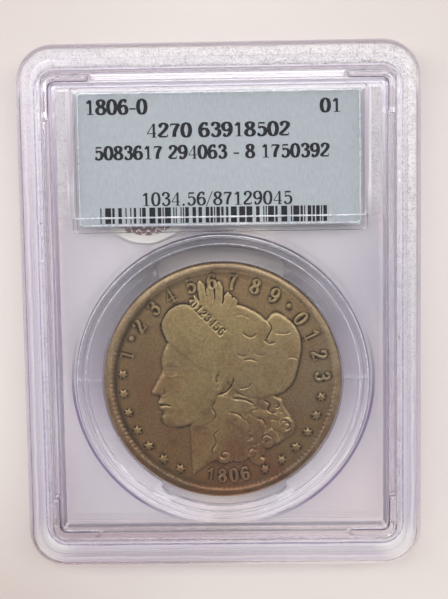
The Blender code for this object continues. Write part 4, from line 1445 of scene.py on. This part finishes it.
# The paper label, its black numerals and bars
labelForm = {
    "printRise": 0.012,
    "lines": [  # text, left end, right end, foot, height, thick and thin strokes
        ("1806-0", -21.1, -11.3, 30.65, 2.35, 0.235, 0.13),
        ("01", 15.9, 19.2, 30.5, 2.2, 0.235, 0.13),
        ("4270 63918502", -11.45, 11.1, 26.95, 2.25, 0.235, 0.13),
        ("5083617 294063 - 8 1750392", -19.8, 17.3, 23.55, 2.15, 0.235, 0.13),
        ("1034.56/87129045", -12.5, 11.4, 16.2, 2.15, 0.17, 0.095),
    ],
    "advance": {" ": 0.42, "-": 0.55, ".": 0.42, "/": 0.5},  # all numerals take up 0.76
    "bars": (-19.0, 17.7, 13.45, 15.95),
    "barUnit": 0.19,
}

labelLook = {
    "paper": [(0.3, (0.325, 0.36, 0.363)), (0.7, (0.408, 0.442, 0.442))],
    "cloud": (0.335, 0.372, 0.384),
    "ink": [(0.35, (0.004, 0.004, 0.006)), (0.75, (0.014, 0.014, 0.018))],
}


def addPrism(bm, sections, low, high, endless):  # a flat ribbon between two heights
    rows = [[Vector((*left, high)), Vector((*right, high)), Vector((*right, low)), Vector((*left, low))]
            for left, right in sections]
    join(bm, skin(rows, endless))


def addDot(bm, centreX, centreY, scale, radius, low, rise):
    dot = bmesh.new()
    bmesh.ops.create_cone(dot, cap_ends=True, segments=14, radius1=radius, radius2=radius, depth=1)
    bmesh.ops.scale(dot, verts=dot.verts, vec=(scale.x, scale.y, rise))
    bmesh.ops.translate(dot, verts=dot.verts, vec=(centreX, centreY, low + rise / 2 - 0.001))
    join(bm, dot)


def addBar(bm, left, wide, low, high, foot, rise):
    bar = bmesh.new()
    bmesh.ops.create_cube(bar, size=1)
    bmesh.ops.scale(bar, verts=bar.verts, vec=(wide, high - low, rise))
    bmesh.ops.translate(bar, verts=bar.verts, vec=(left + wide / 2, (low + high) / 2, foot + rise / 2))
    join(bm, bar)


def makeLabelPrint(material):
    f = labelForm
    bm = bmesh.new()
    base, rise = labelHigh.z + 0.002, f["printRise"]
    for text, left, right, foot, height, thick, thin in f["lines"]:
        widths = [f["advance"].get(mark, 0.76) for mark in text]
        unit = (right - left) / (sum(widths) - 0.06)
        scale = Vector((unit * 0.76 / 0.66, height))
        for mark, before, wide in zip(text, np.cumsum([0] + widths), widths):
            if mark == " ":
                continue
            origin = Vector((left + unit * (before + wide / 2) - 0.3 * scale.x, foot))
            strokes, ends = numeralStrokes(mark, thick, thin)
            for i, (path, across) in enumerate(strokes):
                closed = np.allclose(path[0], path[-1])
                points, side = ribbon(path, across, closed)
                sections = [(origin + Vector((a * scale.x, b * scale.y)),
                             origin + Vector((c * scale.x, d * scale.y)))
                            for (a, b), (c, d) in zip(points + side, points - side)]
                addPrism(bm, sections, base, base + rise + 0.001 * i, closed)
            for endX, endY, radius in ends:
                addDot(bm, origin.x + endX * scale.x, origin.y + endY * scale.y, scale, radius, base, rise)
    random.seed(3)
    x, barRight, barLow, barHigh = f["bars"]
    while x < barRight - 0.5:
        wide = f["barUnit"] * random.choice((1, 1, 2, 3, 5))
        addBar(bm, x, wide, barLow, barHigh, base, rise)
        x += wide + f["barUnit"] * random.choice((1, 1, 1, 2, 3))
    return addPiece("labelPrint", bm, material, 30)


def makeLabelCard(material):
    halfX, halfY = labelSize.x / 2, labelSize.y / 2
    levels = [(halfX - 0.3, halfY - 0.3, 0.1, labelLow.z, 0), (halfX, halfY, 0.25, labelLow.z, 0.05),
              (halfX, halfY, 0.25, labelHigh.z, 0.05), (halfX - 0.3, halfY - 0.3, 0.1, labelHigh.z, 0)]
    return addPiece("labelCard", loft(softened(levels, 2), labelMiddle.y, steps=5), material)


def blueGreyCard():
    look = labelLook
    material, tree, shader = newMaterial("blueGreyCard")
    fibres = noiseOf(tree, 2600, 4, 0.7, (1, 0.35, 1))
    cloud = product(tree, noiseOf(tree, 120, 3), 0.25)
    feed(tree, shader, {
        "Base Color": mix(tree, cloud, ramp(tree, fibres, look["paper"]), look["cloud"]),
        "Roughness": ramp(tree, fibres, [(0.3, 0.78), (0.7, 0.9)]),
        "Normal": bumpOf(tree, fibres, 0.3, 0.00003),
    })
    return material


def blackInk():
    material, tree, shader = newMaterial("blackInk")
    feed(tree, shader, {
        "Base Color": ramp(tree, noiseOf(tree, 5000, 3), labelLook["ink"]),
        "Roughness": 0.7,
        "Specular IOR Level": 0.2,
    })
    return material


# Whitish tubes with painted glints: the edge of the well's lip, doubled below the bars, and the ridges on the
# ring
lipForm = {
    "thick": 0.17,
    "inside": 0.3,
    "lowerBar": 1.15,
    "hook": ((0, 0.9), (0, 0.35), (0.1, 0.1), (0.35, 0)),  # one end of the lower bar, inwards and upwards
}

glintLook = {
    # painted highlight: a whitish colour
    "colour": [(0.35, (0.62, 0.62, 0.66)), (0.6, (0.99, 0.99, 1.0))],
    "roughness": [(0.3, 0.35), (0.7, 0.12)],
    "ior": 1.5,
    "clearness": 0.5,
    "shade": (0.9, 0.9, 0.92),
}


def makeLipGlintEdge(material):
    f = lipForm
    bm = bmesh.new()
    z = labelHigh.z + shellForm["fit"] + f["thick"] + 0.05
    halfX, halfY = labelSize.x / 2 - f["inside"], labelSize.y / 2 - f["inside"]
    edge = outline(halfX, halfY, 0.6, z, labelMiddle.y, 6)
    low = labelMiddle.y - halfY + f["lowerBar"]
    left, right = (Vector((side * (halfX + 0.9), low, z)) for side in (-1, 1))
    bar = [left + Vector((inwards, up, 0)) for inwards, up in f["hook"]]
    bar += [right + Vector((-inwards, up, 0)) for inwards, up in reversed(f["hook"])]
    for path, closed in ((edge, True), (bar, False)):
        points = evenWalk(path, 0.5, closed)
        rows = []
        for i, here in enumerate(points):
            ahead, across = alongAndAcross(points, i, closed)
            size = f["thick"] * (0.8 + 0.4 * noise.noise(here * 1.3)) * (1 - 0.5 * abs(ahead.y))
            rows.append(roundSection(here, across, size, size))
        join(bm, skin(rows, closed))
    return addPiece("lipGlintEdge", bm, material, 60)


def makeRingGlintRidges(material):  # painted highlights, highest at the top, the upper left and the right
    bm = bmesh.new()
    for radius, thick in ringForm["ridges"]:
        rows = []
        for turn in np.radians(np.arange(0, 360, 1.5)):
            spot = Vector((radius * math.cos(turn), radius * math.sin(turn), 0))
            size = 0.25 + 0.75 * max(0, math.cos(turn - 2.5), math.cos(turn - 1.35), math.cos(turn + 0.1))**3
            size *= thick * (0.8 + 0.5 * noise.noise(spot * 0.8))
            middle = spot + Vector((0, coinMiddle.y, coinMiddle.z + ringForm["beadHeight"] / 2 + size + 0.01))
            rows.append(roundSection(middle, spot.normalized(), size, size))
        join(bm, skin(rows, True))
    return addPiece("ringGlintRidges", bm, material, 60)


def paintedGlintStyrene():
    look = glintLook
    material, tree, shader = newMaterial("paintedGlintStyrene")
    glints = noiseOf(tree, 900, 3)
    feed(tree, shader, {
        "Base Color": ramp(tree, glints, look["colour"]),
        "Roughness": ramp(tree, glints, look["roughness"]),
        "IOR": look["ior"],
        "Transmission Weight": look["clearness"],
        "Normal": bumpOf(tree, glints, 0.6, 0.0001),
    })
    lettingLightThrough(tree, shader, look["shade"])
    return material


# The round sticker on the back, whose edge shows below the label
stickerLook = {
    "paper": [(0.3, (0.86, 0.83, 0.68)), (0.7, (0.94, 0.91, 0.78))],
    "ink": (0.22, 0.035, 0.03),
    "loops": 24.0,
    "roughness": 0.55,
}


def makeSticker(material, middle, size):
    radius, half = size.x / 2, size.z / 2
    bm = turned([(0.0, -half), (radius - 0.03, -half), (radius, 0.03 - half), (radius, half - 0.03),
                 (radius - 0.03, half), (0.0, half)], 0.0, steps=96)
    bmesh.ops.remove_doubles(bm, verts=bm.verts, dist=1e-4)
    bmesh.ops.translate(bm, verts=bm.verts, vec=middle)
    return addPiece("rearSticker", bm, material, 40)


def creamSticker(middle):
    look = stickerLook
    material, tree, shader = newMaterial("creamSticker")
    parts, away = aroundMiddle(tree, middle)[1:]
    angle = sums(tree, "ARCTAN2", parts["Y"], parts["X"])
    # a dark red band of loops round a thin circle
    wave = sums(tree, "SINE", product(tree, angle, look["loops"]))
    loops = sums(tree, "ABSOLUTE", sums(tree, "SINE", sums(tree, "ADD", product(tree, away, 2.6), wave)))
    lines = product(tree, fade(tree, loops, 0.25, 0.5), within(tree, away, 2.4, 6.5))
    lines = sums(tree, "MAXIMUM", lines, within(tree, away, 2.0, 2.3))
    fibres = noiseOf(tree, 1800, 3)
    feed(tree, shader, {
        "Base Color": mix(tree, product(tree, lines, 0.85), ramp(tree, fibres, look["paper"]), look["ink"]),
        "Roughness": look["roughness"],
        "Normal": bumpOf(tree, fibres, 0.15, 0.00003),
    })
    return material


# Everything that belongs to the slab
styrene = clearStyrene()
for shell, nodeName in ((makeFrontShell(styrene), "front_shell"), (makeRearShell(styrene), "rear_shell")):
    flattenShading(shell)
    place(shell, "clear_shell", nodeName)

place(makeWeldBead(fusedStyrene()), "weld", "weld_bead")

ringPlastic = clearRing()
for half, facing, nodeName in (("ringUpper", 1, "gasket_upper_half"), ("ringLower", -1, "gasket_lower_half")):
    piece = makeRingHalf(half, facing, ringPlastic)
    flattenShading(piece)
    place(piece, "clear_ring", nodeName)

silver = tonedSilver()
place(makeCoinFace("coinFront", obverseRelief, 1, silver), "coin_silver", "coin")
place(makeCoinFace("coinBack", reverseRelief, -1, silver), "coin_silver", "coin")
place(makeLettering("coinLettering", 1, silver), "coin_silver")
place(makeLettering("coinBackLettering", -1, silver), "coin_silver")

place(makeLabelCard(blueGreyCard()), "label_paper", "label_card")
place(makeLabelPrint(blackInk()), "label_paper")
paintedGlints = paintedGlintStyrene()
place(makeLipGlintEdge(paintedGlints), "clear_shell")
place(makeRingGlintRidges(paintedGlints), "clear_ring")
place(makeStippledSkin(stippledStyrene()), "clear_shell")
stickerMiddle, stickerSize = boxOf("rear_sticker")[2:]
place(makeSticker(creamSticker(stickerMiddle), stickerMiddle, stickerSize), "sticker_paper", "rear_sticker")

# The floor, the light and the camera
studio = {
    "floor": (0.755, 0.70, 0.668),
    "stainsAndPaintedShade": [  # painted shade and light on the floor: place, reach, and how much of its colour is left
        ((-0.045, -0.065, 0.0), 0.05, (0.76, 0.69, 0.68)),
        ((-0.050, 0.072, 0.0), 0.06, (0.80, 0.76, 0.77)),
        ((0.052, 0.072, 0.0), 0.06, (0.84, 0.81, 0.80)),
        ((0.05, -0.06, 0.0), 0.05, (1.05, 1.03, 1.02)),
    ],
    "lamps": [  # name, place, size, power, and how it is turned in degrees
        ("softLamp", (0.03, 0.192, 0.62), (1.0, 0.27), 4.0, (0, 0, 0)),
        ("sideLamp", (-0.42, 0.17, 0.30), (0.07, 0.22), 0.45, (0, -54, 0)),
        ("cornerLamp", (-0.30, -0.36, 0.25), (0.05, 0.05), 0.08, (45, -42, 0)),
    ],
    "lampColour": (1.0, 0.985, 0.965),
    "overhead": 0.18,
    "middle": 0.49,
    "horizon": 0.38,
    "lens": 81.17,
    "cameraPlace": (5.9, 26.2, 218.6),
    "cameraTurn": (-6.68, 1.46, -0.74),
}


def makeFloor():
    bm = bmesh.new()
    bmesh.ops.create_grid(bm, x_segments=8, y_segments=8, size=3000)
    bmesh.ops.translate(bm, verts=bm.verts, vec=(0, 0, -0.03))
    material, tree, shader = newMaterial("paleDesk")
    tint = studio["floor"]
    colour = mix(tree, product(tree, noiseOf(tree, 9, 2), 0.12), tint, [0.9 * c for c in tint])
    # painted shade on the floor, darker towards three corners, and painted light at the lower right
    for middle, reach, left in studio["stainsAndPaintedShade"]:
        gap = measure(tree, "DISTANCE", objectPlace(tree), middle)
        stainAndPaintedShade = fade(tree, gap, reach, 0.0, shape="SMOOTHSTEP")
        colour = mix(tree, stainAndPaintedShade, colour, [c * k for c, k in zip(tint, left)])
    feed(tree, shader, {"Base Color": colour, "Roughness": 0.7})
    floor = addPiece("floor", bm, material)


def makeLamp(name, where, size, power, turn):
    lamp = bpy.data.lights.new(name, "AREA")
    lamp.shape = "RECTANGLE"
    lamp.size, lamp.size_y = size
    lamp.energy = power
    lamp.color = studio["lampColour"]
    holder = bpy.data.objects.new(name, lamp)
    holder.location = where
    holder.rotation_euler = [math.radians(angle) for angle in turn]
    bpy.context.collection.objects.link(holder)


def makeLight():
    for lamp in studio["lamps"]:
        makeLamp(*lamp)
    world = bpy.data.worlds.new("studio")
    world.use_nodes = True
    bpy.context.scene.world = world
    tree = world.node_tree
    upward = axisOf(tree, node(tree, "TexCoord").outputs["Generated"], "Z")
    low, middle, high = studio["horizon"], studio["middle"], studio["overhead"]
    sky = ramp(tree, upward, [(0.0, (low, low * 0.97, low * 1.06)), (0.25, (middle,) * 3),
                              (0.7, (middle,) * 3), (0.93, (high, high * 0.98, high * 1.04))])
    backdrop = mix(tree, node(tree, "LightPath").outputs["Is Camera Ray"], sky, studio["floor"])
    tree.links.new(backdrop, tree.nodes["Background"].inputs["Color"])


def makeCamera():
    camera = bpy.data.cameras.new("camera")
    camera.lens = studio["lens"]
    camera.sensor_width = 36
    camera.clip_start = 0.01
    camera.clip_end = 20
    holder = bpy.data.objects.new("camera", camera)
    holder.location = Vector(studio["cameraPlace"]) * toMetres
    holder.rotation_mode = "ZYX"
    holder.rotation_euler = [math.radians(turn) for turn in studio["cameraTurn"]]
    bpy.context.collection.objects.link(holder)
    bpy.context.scene.camera = holder


makeFloor()
makeLight()
makeCamera()
print("made the floor, the light and the camera")

scene = bpy.context.scene
scene.view_settings.view_transform = "Standard"
scene.cycles.max_bounces = 24
scene.cycles.transmission_bounces = 24
scene.cycles.transparent_max_bounces = 32

print("slab finished")
